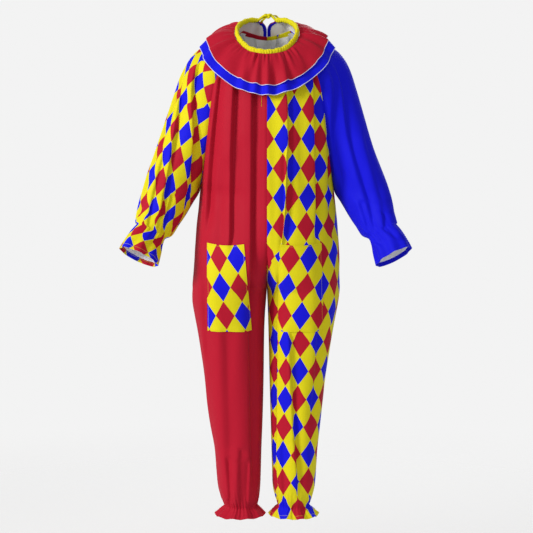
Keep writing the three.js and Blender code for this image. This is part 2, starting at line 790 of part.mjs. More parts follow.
// Neck band, a roll whose gathers swell it a little
function bandGeometry() {
  const limit = Math.PI - Math.asin(BAND.backGap / collarAt(Math.PI).ringR);
  const rings = [];
  for (let i = 0; i <= BAND.steps; i += 1) {
    const azimuth = limit * ((2 * i) / BAND.steps - 1);
    const along = bandTangent(azimuth);
    const up = point(Math.sin(azimuth), -Math.cos(azimuth), 0).cross(along).normalize();
    const out = along.clone().cross(up);
    const swell = BAND.lump * Math.sin(BAND.lumps * azimuth);
    const high = BAND.height / 2 + swell;
    const thick = BAND.thickness / 2 + swell / 2;
    rings.push(ovalRing(bandPoint(azimuth), up, out, high, thick, ROLL_SIDES));
  }
  return loftGeometry(rings);
}
addPiece("neck_band", bandGeometry(), CLOTH.yellow);

// Ties, from the ends of the band to the knot, and the knot's tails
function tieGeometry(side) {
  const limit = Math.PI - Math.asin(BAND.backGap / collarAt(Math.PI).ringR);
  const end = bandPoint(side * limit);
  const leave = bandTangent(side * limit).multiplyScalar(side);
  const arrive = point(-side, 0, 0);
  const from = end.clone().addScaledVector(leave, SEAM_GAP);
  const to = KNOT.clone().addScaledVector(arrive, -KNOT_SIZE.x / 2 - SEAM_GAP);
  const path = new THREE.CubicBezierCurve3(
    from,
    from.clone().addScaledVector(leave, TIE_LEAD),
    to.clone().addScaledVector(arrive, -TIE_LEAD),
    to,
  );
  const rings = [];
  for (let i = 0; i <= TIE_STEPS; i += 1) {
    const t = i / TIE_STEPS;
    let along = path.getTangent(t);
    if (i === 0) along = leave;
    if (i === TIE_STEPS) along = arrive;
    const wide = point(0, 1, 0).cross(along).normalize();
    const high = along.clone().cross(wide).normalize();
    rings.push(ovalRing(path.getPoint(t), wide, high, TIE_RADIUS, TIE_RADIUS, ROLL_SIDES));
  }
  return loftGeometry(rings);
}

addPiece("tie_right", tieGeometry(RIGHT), CLOTH.yellow);
addPiece("tie_left", tieGeometry(LEFT), CLOTH.yellow);

function knotGeometry() {
  const knot = new THREE.SphereGeometry(0.5, 12, 8);
  return knot.scale(KNOT_SIZE.x, KNOT_SIZE.y, KNOT_SIZE.z).translate(KNOT.x, KNOT.y, KNOT.z);
}
addPiece("tie_knot", knotGeometry(), CLOTH.yellow);

// A tail leaves the knot, passes over the band and lies down on the upper tier of the collar.
function tailGeometry({ azimuth, outX, outY, outZ, reach, lift }) {
  const middle = radians(azimuth);
  const out = point(outX, outY, outZ);
  const across = point(Math.cos(middle), Math.sin(middle), 0);
  const start = KNOT.clone().lerp(out, TAIL_ROOT);
  const outer = [];
  const inner = [];
  const addRow = (left, right, up) => {
    inner.push([left, right]);
    outer.push([left.clone().addScaledVector(up, WALL), right.clone().addScaledVector(up, WALL)]);
  };
  const half = TAIL_WIDTH / 2;
  for (const centre of [start, out]) {
    const left = centre.clone().addScaledVector(across, -half);
    addRow(left, centre.clone().addScaledVector(across, half), point(0, TAIL_TILT, 1).normalize());
  }
  for (let i = 1; i <= TAIL_ROWS; i += 1) {
    const along = THREE.MathUtils.lerp(TAIL_LANDS, reach, i / TAIL_ROWS);
    const radius = fallPoint(middle, along, 0).place.distanceTo(point(0, BAND.centreY, 0));
    const turn = half / radius;
    const left = fallPoint(middle - turn, along, -lift);
    const right = fallPoint(middle + turn, along, -lift);
    addRow(left.place, right.place, left.normal.clone().add(right.normal).normalize());
  }
  return wallGeometry(outer, inner, -1);
}
addPiece("tie_tail_right", tailGeometry(TAILS[0]), CLOTH.yellow);
addPiece("tie_tail_left", tailGeometry(TAILS[1]), CLOTH.yellow);

export default costume;
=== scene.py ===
import math

import bpy
import numpy as np
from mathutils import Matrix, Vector


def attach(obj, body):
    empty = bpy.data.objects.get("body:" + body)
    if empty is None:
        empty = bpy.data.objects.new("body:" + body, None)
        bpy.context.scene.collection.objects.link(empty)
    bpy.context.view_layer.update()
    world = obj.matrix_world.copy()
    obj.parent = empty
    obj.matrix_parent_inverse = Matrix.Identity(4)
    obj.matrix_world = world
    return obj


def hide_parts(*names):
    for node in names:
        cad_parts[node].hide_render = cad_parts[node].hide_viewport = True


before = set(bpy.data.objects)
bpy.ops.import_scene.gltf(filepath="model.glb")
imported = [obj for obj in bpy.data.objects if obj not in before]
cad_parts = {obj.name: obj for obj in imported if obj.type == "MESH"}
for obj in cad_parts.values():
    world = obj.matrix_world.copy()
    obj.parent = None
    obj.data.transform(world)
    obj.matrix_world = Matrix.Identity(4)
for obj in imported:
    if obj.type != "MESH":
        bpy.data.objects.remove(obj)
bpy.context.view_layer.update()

# Jester's jumpsuit with its ruffle collar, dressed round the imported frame.
# Lengths in the tables are millimetres, as a maker would note them, and MM brings them to metres.
MM = 0.001
RIGHT, LEFT = -1, 1
FRONT, BACK = -1, 1
FAR = 1e6

# Picture: the lens and the camera's place are those of the photograph.
PICTURE_PIXELS = 533
FOCAL_PIXELS = 1424
SENSOR_MM = 36
CAMERA_PLACE = (-1.5, -4173, -204.5)
CAMERA_AIM = (-1.5, 0, -680)


def make_camera():
    """Camera with the photograph's lens, place and aim."""
    data = bpy.data.cameras.new("camera")
    data.sensor_width = SENSOR_MM
    data.lens = SENSOR_MM * FOCAL_PIXELS / PICTURE_PIXELS
    data.clip_end = 200
    camera = bpy.data.objects.new("camera", data)
    bpy.context.scene.collection.objects.link(camera)
    camera.location = Vector(CAMERA_PLACE) * MM
    aim = Vector(CAMERA_AIM) * MM - camera.location
    camera.rotation_euler = aim.to_track_quat("-Z", "Y").to_euler()
    bpy.context.scene.camera = camera


make_camera()


def table(columns, *rows):
    """A table with named columns, as one array of numbers for each column."""
    values = np.array(rows, float)
    return {name: values[:, i] for i, name in enumerate(columns.split())}


# Cut of the body: centre lines, raglan seams, and sections below the underarm.
CENTRE_LINES = table(
    "frontY frontZ backY backZ turn",
    (-98, -92, 80, -7, 58),
    (-112, -126, 92, -38, 58),
    (-124, -166, 103, -76, 56),
    (-132, -207, 110, -118, 53),
    (-137, -252, 114, -168, 49),
    (-139, -302, 116, -226, 43),
    (-139, -352, 117, -288, 35),
    (-139, -400, 118, -352, 25),
    (-138, -440, 119, -414, 12),
    (-138, -470, 120, -465, 0),
)
RAGLAN_SEAMS = table(
    "frontX frontY frontZ backX backY backZ",
    (80, -62, -64, 70, 50, 10),
    (113, -82, -84, 99, 66, -22),
    (135, -91, -108, 122, 78, -57),
    (149, -93, -142, 139, 85, -94),
    (158, -91, -188, 151, 88, -142),
    (166, -86, -243, 161, 86, -202),
    (173, -76, -303, 170, 78, -268),
    (181, -58, -364, 179, 61, -336),
    (189, -34, -417, 188, 37, -402),
    (196, 0, -455, 196, 0, -455),
)
SHOULDER_LINE = table(
    "x y z lead reach trim",
    (97, -8, -28, 150, 20, 0),
    (142, -6, -31, 112, 32, 0),
    (182, -4, -39, 104, 40, 0),
    (214, -6, -62, 97, 46, 0),
    (240, -11, -106, 90, 50, 1),
    (264, -17, -173, 82, 55, 3),
    (288, -25, -244, 70, 62, 6),
    (314, -35, -318, 50, 74, 9),
    (338, -45, -387, 28, 82, 8),
    (357, -54, -447, 0, 92, 6),
)
SLEEVE_ROWS = table(
    "innerX innerY innerZ outerX outerY outerZ depth lean wave trim",
    (215, -20, -489, 366, -64, -482, 63, 4, 0, 5),
    (237, -42, -525, 372, -78, -510, 57, 9, 0, 5),
    (257, -66, -556, 377, -92, -532, 51, 13, 0.8, 5),
    (274, -84, -580, 377, -102, -543, 45, 16, 1.6, 4),
    (292, -104, -588, 372, -112, -545, 37, 17, 1.2, 2),
    (298, -112, -605, 386, -118, -560, 40, 17, 2.5, 3),
    (303, -120, -632, 405, -127, -585, 46, 17, 4.5, 5),
    (310, -128, -662, 422, -135, -612, 50, 17, 6, 8),
)
BODY_ROWS = table(
    "z sideRight sideLeft front back innerRight innerLeft",
    (-470, 198, 200, 138, 120, 0, 0),
    (-554, 206, 207, 141, 128, 0, 0),
    (-655, 214, 213, 141, 138, 0, 0),
    (-742, 219, 214, 134, 140, 0.2, 0.2),
    (-769, 220, 212, 129, 137, 1.5, 1.5),
    (-808, 215, 206, 121, 130, 5, 3),
    (-884, 203, 193, 108, 113, 8, 5),
    (-1000, 187, 174, 92, 92, 10, 7),
    (-1116, 175, 163, 79, 88, 13, 10),
    (-1221, 157, 151, 70, 83, 17, 13),
    (-1344, 147, 143, 62, 68, 20, 17),
    (-1379, 137, 134, 56, 58, 24, 25),
    (-1399, 129, 128, 50, 52, 28, 30),
    (-1410, 139, 138, 58, 60, 17, 18),
    (-1424, 158, 157, 70, 72, 3, 3),
)
BODY_HEIGHTS = (
    -508, -552, -600, -648, -688, -714, -731, -742, -760, -785, -820, -870, -930, -1000, -1075,
    -1150, -1225, -1290, -1340, -1372, -1399, -1410, -1424,
)
CROTCH_Z = -742
CROTCH_TURN_Z = -560
CROTCH_CURVE = 3
THIGH_TOP_Z = -500
ELASTIC_Z = -1399
GATHER_TOP_Z = -1290
HEM_Z = -1424
CHEST_HOLD = 0.5
CHEST_ACROSS = 0.6
TRUNK_HOLD = 0.6

# Fineness of the cloth meshes
PANEL_COLUMNS = 112
PANEL_FINE = 150
SLEEVE_COLUMNS = 92
SLEEVE_FINE = 176
CURVE_SAMPLES = 240
ROW_STEP = 6.2
CLOTH_THICK = 0.7
HEM_THICK = 1.54
ELASTIC_THICK = 1.5
HEM_TURN = 11

# Gathers and ruffles at the ankles and cuffs
ANKLE_WAVES = 5
ANKLE_WAVE = 6
GATHER_DEPTH = 3.2
CUFF_WAVES = 8
WRIST_PLACE = 14
ANKLE_FINE_GATHERS = 17
ABOVE_ELASTIC_SIZE = 1.7
BELOW_ELASTIC_SIZE = 0.9
ANKLE_GROOVE = 1.2
ANKLE_GROOVE_WIDTH = 3.2
WRIST_FINE_GATHERS = 22
WRIST_GATHER_SIZE = 1.1
WRIST_GROOVE = 0.8
WRIST_GROOVE_WIDTH = 6


def smooth(t):
    """A soft step from 0 to 1."""
    t = np.clip(t, 0, 1)
    return t * t * (3 - 2 * t)


def mix(a, b, t):
    return a + (b - a) * t


def point(x, y, z):
    return np.array([x, y, z], float)


def unit(vectors):
    """The same directions at length 1."""
    return vectors / np.maximum(np.linalg.norm(vectors, axis=-1, keepdims=True), 1e-9)


def read_table(source, key, name, places):
    """One column of a table at any places, on a smooth curve that does not overshoot its rows."""
    order = np.argsort(source[key])
    x = source[key][order]
    y = source[name][order]
    gaps = np.diff(x)
    rises = np.diff(y) / gaps
    slopes = np.zeros_like(y)
    steady = rises[:-1] * rises[1:] > 0
    both = np.where(steady, rises[:-1] + rises[1:], 1)
    slopes[1:-1] = np.where(steady, 2 * rises[:-1] * rises[1:] / both, 0)
    i = np.clip(np.searchsorted(x, places, side="right") - 1, 0, len(x) - 2)
    t = np.clip((places - x[i]) / gaps[i], 0, 1)
    return (
        (2 * t**3 - 3 * t**2 + 1) * y[i]
        + (t**3 - 2 * t**2 + t) * slopes[i] * gaps[i]
        + (3 * t**2 - 2 * t**3) * y[i + 1]
        + (t**3 - t**2) * slopes[i + 1] * gaps[i]
    )


def curve(a, b, c, d, count):
    """Points at even distances along one cubic curve."""
    t = np.linspace(0, 1, CURVE_SAMPLES)[:, None]
    points = (1 - t) ** 3 * a + 3 * t * (1 - t) ** 2 * b + 3 * t * t * (1 - t) * c + t**3 * d
    steps = np.linalg.norm(np.diff(points, axis=0), axis=1)
    place = np.concatenate([[0], np.cumsum(steps)])
    even = np.linspace(0, place[-1], count + 1)
    return np.stack([np.interp(even, place, points[:, axis]) for axis in range(3)], axis=1)


def chest_section(side, face, k, count):
    """Section of a body panel from its raglan seam to the centre line."""
    name = "front" if face == FRONT else "back"
    seams = [RAGLAN_SEAMS[name + axis][k] for axis in "XYZ"]
    start = point(side * seams[0], seams[1], seams[2])
    end = point(0, CENTRE_LINES[name + "Y"][k], CENTRE_LINES[name + "Z"][k])
    turn = math.radians(CENTRE_LINES["turn"][k])
    across = seams[0]
    deep = abs(end[1] - start[1])
    hold = CHEST_HOLD * (math.cos(turn) * deep + math.sin(turn) * CHEST_ACROSS * across)
    drop = end[2] - start[2]
    leave = point(-side * math.sin(turn) * hold, face * math.cos(turn) * hold, drop / 3)
    arrive = point(side * TRUNK_HOLD * across, 0, -drop / 3)
    return curve(start, start + leave, end + arrive, end, count)


def body_section(side, face, z, count):
    """Section of a body panel below the underarm: a quarter of the trunk, then half of a leg."""
    hand = "Right" if side == RIGHT else "Left"
    side_x = read_table(BODY_ROWS, "z", "side" + hand, z)
    inner_x = read_table(BODY_ROWS, "z", "inner" + hand, z)
    depth = read_table(BODY_ROWS, "z", "front" if face == FRONT else "back", z)
    leg_share = smooth((THIGH_TOP_Z - z) / (THIGH_TOP_Z - CROTCH_Z))
    seam_share = np.clip((CROTCH_TURN_Z - z) / (CROTCH_TURN_Z - CROTCH_Z), 0, 1) ** CROTCH_CURVE
    leg_hold = 4 / 3 * depth
    start = point(side * side_x, 0, z)
    leave = point(0, face * mix(TRUNK_HOLD * depth, leg_hold, leg_share), 0)
    end = point(side * inner_x, face * depth * (1 - seam_share), z)
    trunk_handle = point(side * TRUNK_HOLD * side_x, face * depth, z)
    leg_handle = point(side * inner_x, face * leg_hold, z)
    return curve(start, start + leave, mix(trunk_handle, leg_handle, leg_share), end, count)


def sleeve_section(side, k, half):
    """Section of a sleeve: from its front seam over the outer line to its back seam."""
    chest_rows = len(SHOULDER_LINE["x"])
    if k < chest_rows:
        row = {name: column[k] for name, column in SHOULDER_LINE.items()}
        trim = row["trim"] if side == LEFT else 0
        outer = point(side * (row["x"] - trim), row["y"], row["z"])
        lead = math.radians(row["lead"])
        halves = []
        for face, name in ((FRONT, "front"), (BACK, "back")):
            seam = [RAGLAN_SEAMS[name + axis][k] for axis in "XYZ"]
            start = point(side * seam[0], seam[1], seam[2])
            rise = (outer[2] - start[2]) / 3
            leave = point(side * math.sin(lead), face * math.cos(lead), 0) * row["reach"]
            leave[2] = rise
            arrive = point(0, face * row["reach"], -rise)
            halves.append(curve(start, start + leave, outer + arrive, outer, half))
        return np.concatenate([halves[0], halves[1][::-1][1:]])
    row = {name: column[k - chest_rows] for name, column in SLEEVE_ROWS.items()}
    trim = row["trim"] if side == LEFT else 0
    inner = point(side * row["innerX"], row["innerY"], row["innerZ"])
    outer = point(side * (row["outerX"] - trim), row["outerY"], row["outerZ"])
    lean = math.radians(row["lean"])
    ahead = point(0, -math.cos(lean), math.sin(lean)) * 4 / 3 * row["depth"]
    front = curve(inner, inner + ahead, outer + ahead, outer, half)
    back = curve(outer, outer - ahead, inner - ahead, inner, half)
    return np.concatenate([front, back[1:]])


def finer_rows(grid, splits):
    """More rows between those of a grid, on smooth curves down its columns."""
    slopes = np.gradient(grid, axis=0)
    rows = []
    for i, count in enumerate(splits):
        for step in range(count):
            t = step / count
            rows.append(
                (2 * t**3 - 3 * t**2 + 1) * grid[i]
                + (t**3 - 2 * t**2 + t) * slopes[i]
                + (3 * t**2 - 2 * t**3) * grid[i + 1]
                + (t**3 - t**2) * slopes[i + 1]
            )
    rows.append(grid[-1])
    return np.array(rows)


def row_splits(grid):
    """Into how many rows each gap of a grid is divided."""
    gaps = np.linalg.norm(np.diff(grid, axis=0), axis=2).mean(axis=1)
    return [max(2, round(gap / ROW_STEP)) for gap in gaps]


def normals_of(grid, sense):
    """Directions square to a grid; sense turns them outwards."""
    across = np.gradient(grid, axis=1)
    down = np.gradient(grid, axis=0)
    return unit(np.cross(across, down) * sense)


def distance_along(grid, axis):
    """Distance passed down (0) or across (1) a grid."""
    steps = np.linalg.norm(np.diff(grid, axis=axis), axis=2)
    zero = np.zeros_like(np.take(steps, [0], axis=axis))
    return np.concatenate([zero, np.cumsum(steps, axis=axis)], axis=axis)


# Base surfaces: front and back panels with their legs, and the sleeves down to their cuffs.
CHEST_ROWS = len(CENTRE_LINES["turn"])


def panel_rows(side, face):
    """Sections of one body panel from the neckline to the ankle hem."""
    chest = [chest_section(side, face, k, PANEL_COLUMNS) for k in range(CHEST_ROWS)]
    body = [body_section(side, face, z, PANEL_COLUMNS) for z in BODY_HEIGHTS]
    return np.array(chest + body)


def sleeve_rows(side):
    """Sections of one sleeve from the neckline to the cuff's hem."""
    count = CHEST_ROWS + len(SLEEVE_ROWS["wave"])
    return np.array([sleeve_section(side, k, SLEEVE_COLUMNS) for k in range(count)])


bases = {}
panel_splits = row_splits(panel_rows(LEFT, FRONT))
sleeve_splits = panel_splits[: CHEST_ROWS - 1] + row_splits(sleeve_rows(LEFT))[CHEST_ROWS - 1 :]
chest_fine = sum(panel_splits[: CHEST_ROWS - 1])
for side in (RIGHT, LEFT):
    for face in (FRONT, BACK):
        grid = finer_rows(panel_rows(side, face), panel_splits)
        bases[side, face] = (grid, normals_of(grid, -side * face))
    sleeve = finer_rows(sleeve_rows(side), sleeve_splits)
    # The sleeve's edges are brought onto the panels' raglan edges.
    fall = 1 - smooth(np.linspace(0, 8, 2 * SLEEVE_COLUMNS + 1))
    for face, weight in ((FRONT, fall), (BACK, fall[::-1])):
        edge = 0 if face == FRONT else -1
        shift = bases[side, face][0][:chest_fine, 0] - sleeve[:chest_fine, edge]
        sleeve[:chest_fine] += shift[:, None, :] * weight[None, :, None]
    bases[side, "sleeve"] = (sleeve, normals_of(sleeve, -side))


def share_edge(a, b, rows, column_a, column_b):
    """Two pieces get one normal along their common seam."""
    normal = a[rows, column_a] + b[rows, column_b]
    normal /= np.linalg.norm(normal, axis=1, keepdims=True)
    a[rows, column_a] = normal
    b[rows, column_b] = normal


for side in (RIGHT, LEFT):
    front, back, sleeve = (bases[side, name][1] for name in (FRONT, BACK, "sleeve"))
    share_edge(front, sleeve, slice(0, chest_fine), 0, 0)
    share_edge(back, sleeve, slice(0, chest_fine), 0, -1)
    share_edge(front, back, slice(chest_fine, None), 0, 0)
    closed = slice(chest_fine, None)
    share_edge(sleeve, sleeve, closed, 0, -1)
    inseam = bases[side, FRONT][0][:, -1, 2] <= CROTCH_Z
    share_edge(front, back, inseam, -1, -1)
    for normal in (front, back):
        normal[~inseam, -1, 0] = 0
        normal[~inseam, -1] /= np.linalg.norm(normal[~inseam, -1], axis=1, keepdims=True)


# Folds of the body, each from top to bottom at a distance from the centre line that may change
# down its length. depth is its trough, sharp and wide its two sides, and lap says on which side
# its ridge stands and drops sharply: 1 the outer and -1 the inner. tuckTop and tuckBottom are the
# cloth hidden under the ridge.
FOLD_COLUMNS = "top bottom xTop xMiddle xBottom depth sharp wide lap tuckTop tuckBottom"
FOLDS = {
    (LEFT, FRONT): table(
        FOLD_COLUMNS,
        (-85, -665, 54, 60, 44, 10, 6, 24, -1, 30, 18),
        (-330, -665, 45, 42, 36, 4, 3, 7, 1, 0, 36),
        (-655, -1425, 36, 29, 30, 10, 6, 13, 1, 46, 66),
        (-85, -620, 130, 138, 142, 9, 6, 24, -1, 12, 24),
        (-640, -1150, 142, 150, 128, 6, 9, 22, -1, 8, 6),
        (-850, -1399, 70, 78, 101, 9, 6, 20, -1, 13, 30),
        (-110, -460, 92, 96, 102, 4, 14, 30, -1, 2, 2),
        (-700, -1080, 100, 98, 96, 4, 16, 30, -1, 2, 2),
        (-1180, -1399, 50, 51, 52, 4, 6, 12, -1, 4, 6),
        (-160, -560, 168, 178, 182, 5, 8, 18, -1, 4, 6),
    ),
    (RIGHT, FRONT): table(
        FOLD_COLUMNS,
        (-80, -600, 130, 160, 172, 10, 7, 22, 1, 6, 6),
        (-80, -690, 88, 100, 102, 11, 7, 26, 1, 8, 8),
        (-80, -860, 40, 43, 46, 12, 7, 28, 1, 16, 24),
        (-700, -1399, 48, 44, 38, 9, 10, 22, 1, 6, 10),
        (-640, -1330, 128, 112, 108, 7, 16, 30, 1, 6, 8),
        (-600, -980, 176, 178, 168, 5, 12, 24, 1, 4, 4),
        (-1210, -1399, 76, 78, 76, 5, 7, 14, 1, 6, 12),
        (-1250, -1399, 60, 60, 62, 4, 5, 10, -1, 4, 10),
        (-1240, -1399, 118, 112, 112, 5, 6, 12, 1, 4, 10),
        (-300, -760, 70, 72, 74, 3.5, 14, 26, 1, 2, 2),
        (-360, -800, 124, 130, 134, 4, 14, 26, 1, 2, 2),
    ),
    (LEFT, BACK): table(
        FOLD_COLUMNS,
        (-10, -560, 24, 34, 38, 10, 7, 24, 1, 10, 16),
        (-12, -480, 62, 70, 76, 9, 7, 22, 1, 8, 8),
        (-30, -660, 98, 116, 126, 10, 8, 24, 1, 8, 16),
        (-380, -940, 60, 66, 76, 8, 10, 26, -1, 6, 10),
        (-560, -1280, 134, 138, 120, 8, 9, 26, 1, 8, 16),
        (-700, -1399, 44, 42, 48, 9, 8, 22, -1, 10, 26),
        (-900, -1399, 84, 88, 84, 7, 8, 20, 1, 6, 14),
        (-1180, -1399, 110, 112, 112, 5, 6, 12, -1, 4, 10),
        (-240, -700, 166, 176, 180, 5, 10, 20, 1, 4, 8),
    ),
    (RIGHT, BACK): table(
        FOLD_COLUMNS,
        (-10, -500, 28, 40, 46, 9, 7, 22, 1, 10, 10),
        (-14, -640, 66, 82, 88, 11, 8, 24, 1, 8, 12),
        (-34, -560, 106, 118, 128, 9, 7, 22, 1, 8, 8),
        (-420, -1040, 46, 50, 58, 9, 10, 26, -1, 8, 12),
        (-520, -1160, 122, 134, 126, 8, 9, 26, 1, 8, 12),
        (-820, -1399, 76, 80, 78, 8, 8, 22, 1, 8, 18),
        (-980, -1399, 118, 116, 108, 6, 9, 20, -1, 6, 10),
        (-1200, -1399, 50, 52, 54, 5, 6, 12, 1, 4, 10),
        (-200, -640, 164, 174, 178, 5, 10, 20, -1, 4, 8),
    ),
}
# Folds along the sleeves: top and bottom are distances down from the neck, and the places round
# the sleeve are distances from its outer line, towards the front, or below 0 towards the back.
SLEEVE_FOLD_COLUMNS = "top bottom sTop sMiddle sBottom depth sharp wide lap tuckTop tuckBottom"
SLEEVE_FOLDS = {
    RIGHT: table(
        SLEEVE_FOLD_COLUMNS,
        (112, 560, 66, 132, 180, 10, 6, 22, 1, 18, 20),
        (215, 640, 44, 88, 92, 9, 6, 20, 1, 16, 20),
        (380, 660, 58, 66, 62, 6, 6, 16, 1, 10, 14),
        (170, 660, 8, 26, 20, 6, 7, 20, 1, 8, 12),
        (500, 690, 120, 112, 96, 5, 5, 12, 1, 6, 10),
        (130, 560, -40, -48, -50, 8, 7, 20, -1, 16, 20),
        (140, 640, -80, -92, -84, 9, 7, 20, 1, 18, 22),
        (110, 600, -118, -150, -150, 8, 7, 18, -1, 14, 18),
    ),
    LEFT: table(
        SLEEVE_FOLD_COLUMNS,
        (104, 520, 92, 138, 178, 8, 10, 30, -1, 6, 6),
        (112, 700, 64, 97, 84, 8, 9, 26, -1, 8, 10),
        (330, 690, 40, 56, 46, 4, 10, 24, -1, 4, 6),
        (520, 690, 124, 114, 104, 5, 6, 14, -1, 4, 8),
        (560, 690, 62, 58, 60, 4, 5, 12, -1, 4, 8),
        (130, 560, -40, -48, -50, 8, 8, 22, -1, 8, 12),
        (140, 640, -80, -92, -84, 8, 8, 22, 1, 8, 16),
        (110, 600, -118, -150, -150, 8, 8, 20, -1, 8, 12),
    ),
}
FOLD_FADE_IN = 0.12
FOLD_FADE_OUT = 0.22
RIDGE_SHARE = 0.5
RIDGE_AWAY = 2.0
RIDGE_LEAN = 1.15
FOLD_CROWD = 2.4
FOLD_CROWD_WIDTH = 15


def fold_rows(folds):
    """The folds of a table, one after the other."""
    return [{name: column[i] for name, column in folds.items()} for i in range(len(folds["top"]))]


def fold_line(fold, along, letter):
    """How far down its length a fold is, where it runs there and how strongly it shows."""
    t = (fold["top"] - along) / (fold["top"] - fold["bottom"])
    top, middle, bottom = (fold[letter + name] for name in ("Top", "Middle", "Bottom"))
    inside = np.clip(t, 0, 1)
    place = top * (1 - inside) * (1 - 2 * inside) + bottom * inside * (2 * inside - 1)
    place = place + middle * 4 * inside * (1 - inside)
    shows = smooth(t / FOLD_FADE_IN + 0.35) * smooth((1 - t) / FOLD_FADE_OUT)
    return inside, place, shows * (t > -0.2) * (t < 1)


def fold_form(distance, fold, shows):
    """Height of a fold, and how far its ridge leans over the trough."""
    e = distance * fold["lap"]
    sharp = fold["sharp"]
    trough = np.exp(-((e / np.where(e < 0, fold["wide"], sharp)) ** 2))
    past = e - RIDGE_AWAY * sharp
    ridge = np.exp(-((past / np.where(past < 0, 1.2 * sharp, 3.0 * sharp)) ** 2))
    height = shows * fold["depth"] * (RIDGE_SHARE * ridge - trough)
    steep = smooth(fold["depth"] / sharp - 0.5)
    over = np.exp(-((past / (1.7 * sharp)) ** 2))
    lean = -fold["lap"] * shows**2 * steep * RIDGE_LEAN * sharp * over
    return height, lean


SURPLUS_REACH = 120
SURPLUS_SHOWS = np.linspace(0, 1, 9)


def fold_surplus(fold, shows):
    """How much longer the cloth's own line is where it goes through a fold."""
    line = np.linspace(-SURPLUS_REACH, SURPLUS_REACH, 481)
    found = []
    for strength in SURPLUS_SHOWS:
        height, lean = fold_form(line, fold, strength)
        found.append(np.hypot(np.diff(line + lean), np.diff(height)).sum() - 2 * SURPLUS_REACH)
    return np.interp(shows, SURPLUS_SHOWS, found)


def hidden_cloth(distance, fold, share, shows):
    """Cloth that a fold hides beyond its own form, and how far it has been passed."""
    tuck = mix(fold["tuckTop"], fold["tuckBottom"], share) * smooth(shows * 3)
    more = np.maximum(tuck - fold_surplus(fold, shows), 0)
    zone = (distance - fold["lap"] * 1.1 * fold["sharp"]) / (1.3 * fold["sharp"]) + 0.5
    return more * smooth(zone)


def crowd_columns(base, normals, away, place_of, folds, along, letter, count):
    """The same surface with its columns crowded round the folds."""
    density = np.ones_like(away)
    for fold in fold_rows(folds):
        _, place, shows = fold_line(fold, along, letter)
        near = (place_of - place) / FOLD_CROWD_WIDTH
        density += FOLD_CROWD * shows * np.exp(-(near**2))
    steps = np.diff(away, axis=1) * (density[:, 1:] + density[:, :-1]) / 2
    total = np.concatenate([np.zeros((len(away), 1)), np.cumsum(steps, axis=1)], axis=1)
    total /= total[:, -1:]
    even = np.linspace(0, 1, count + 1)
    old = np.arange(away.shape[1])
    columns = np.array([np.interp(even, row, old) for row in total])
    i = np.clip(columns.astype(int), 0, away.shape[1] - 2)
    t = (columns - i)[..., None]
    rows = np.arange(len(away))[:, None]
    moved = [mix(grid[rows, i], grid[rows, i + 1], t) for grid in (base, normals)]
    return moved[0], unit(moved[1])


SWELL_WAVES = 9
SWELL_ACROSS = (45, 130)
SWELL_ALONG = (700, 1500)


def swells(across, along, seed, size):
    """Slow swells of the cloth between its folds, from a few seeded waves."""
    rng = np.random.default_rng(seed)
    height = np.zeros_like(across)
    for _ in range(SWELL_WAVES):
        wave_across = rng.uniform(*SWELL_ACROSS)
        wave_along = rng.uniform(*SWELL_ALONG) * rng.choice([-1, 1])
        start = rng.uniform(0, 2 * np.pi)
        turn = 2 * np.pi * (across / wave_across + along / wave_along)
        height += wave_across / SWELL_ACROSS[1] * np.sin(turn + start)
    return size * height / math.sqrt(SWELL_WAVES)


def small_gathers(across, waves, seed):
    """Uneven fine gathers next to elastic: across runs from 0 to 1."""
    rng = np.random.default_rng(seed)
    turn = 2 * np.pi * across
    drift = 0
    for n in (1, 2, 3):
        drift = drift + rng.uniform(0.2, 0.6) * np.sin(n * turn + 2 * np.pi * rng.random())
    size = 0.75 + 0.35 * np.sin(2.3 * turn + 2 * np.pi * rng.random())
    return size * np.sin(waves * turn + drift)


# Patch pockets: their corners on the front panels, as distances from the centre line and heights
POCKET = {
    RIGHT: {"topInner": 65, "topOuter": 171, "bottomInner": 46, "bottomOuter": 171},
    LEFT: {"topInner": 36, "topOuter": 155, "bottomInner": 32, "bottomOuter": 163},
}
POCKET_TOP = -600
POCKET_BOTTOM = -857
POCKET_CALM = 0.3
POCKET_MARGIN = 14
POCKET_STANDS_OFF = 8
POCKET_EASE = 50


def lay_flat_under_pocket(relief, lean, x, z, side):
    """A sewn-on pocket stiffens the cloth under it, so folds and swells are shallower there."""
    corners = POCKET[side]
    down = np.clip((POCKET_TOP - z) / (POCKET_TOP - POCKET_BOTTOM), 0, 1)
    inner = mix(corners["topInner"], corners["bottomInner"], down)
    outer = mix(corners["topOuter"], corners["bottomOuter"], down)
    from_inner = smooth((x - inner + POCKET_STANDS_OFF) / POCKET_MARGIN)
    from_outer = smooth((outer + POCKET_STANDS_OFF - x) / POCKET_MARGIN)
    from_top = smooth((POCKET_TOP + 10 - z) / POCKET_EASE)
    from_bottom = smooth((z - POCKET_BOTTOM + 16) / POCKET_EASE)
    under = from_inner * from_outer * from_top * from_bottom
    keep = mix(1, POCKET_CALM, under)
    return relief * keep, lean * keep


def ankle_wave(z, across):
    """Wave of the gathers and ruffle across a panel, a whole number so that the seams match."""
    gather = smooth((GATHER_TOP_Z - z) / (GATHER_TOP_Z - ELASTIC_Z)) * GATHER_DEPTH
    flare = smooth((ELASTIC_Z - z) / (ELASTIC_Z - HEM_Z))
    size = mix(gather, ANKLE_WAVE, flare)
    return size * (np.cos(2 * np.pi * ANKLE_WAVES * across) - 1) * 0.5


SEAM_GROOVE = 0.9
SEAM_HALF_WIDTH = 3.2
EDGE_CALM = 14
PANEL_SWELL = 1.4
SLEEVE_SWELL = 1.0
LEAST_TILT = 0.35
PRINT_X = 60


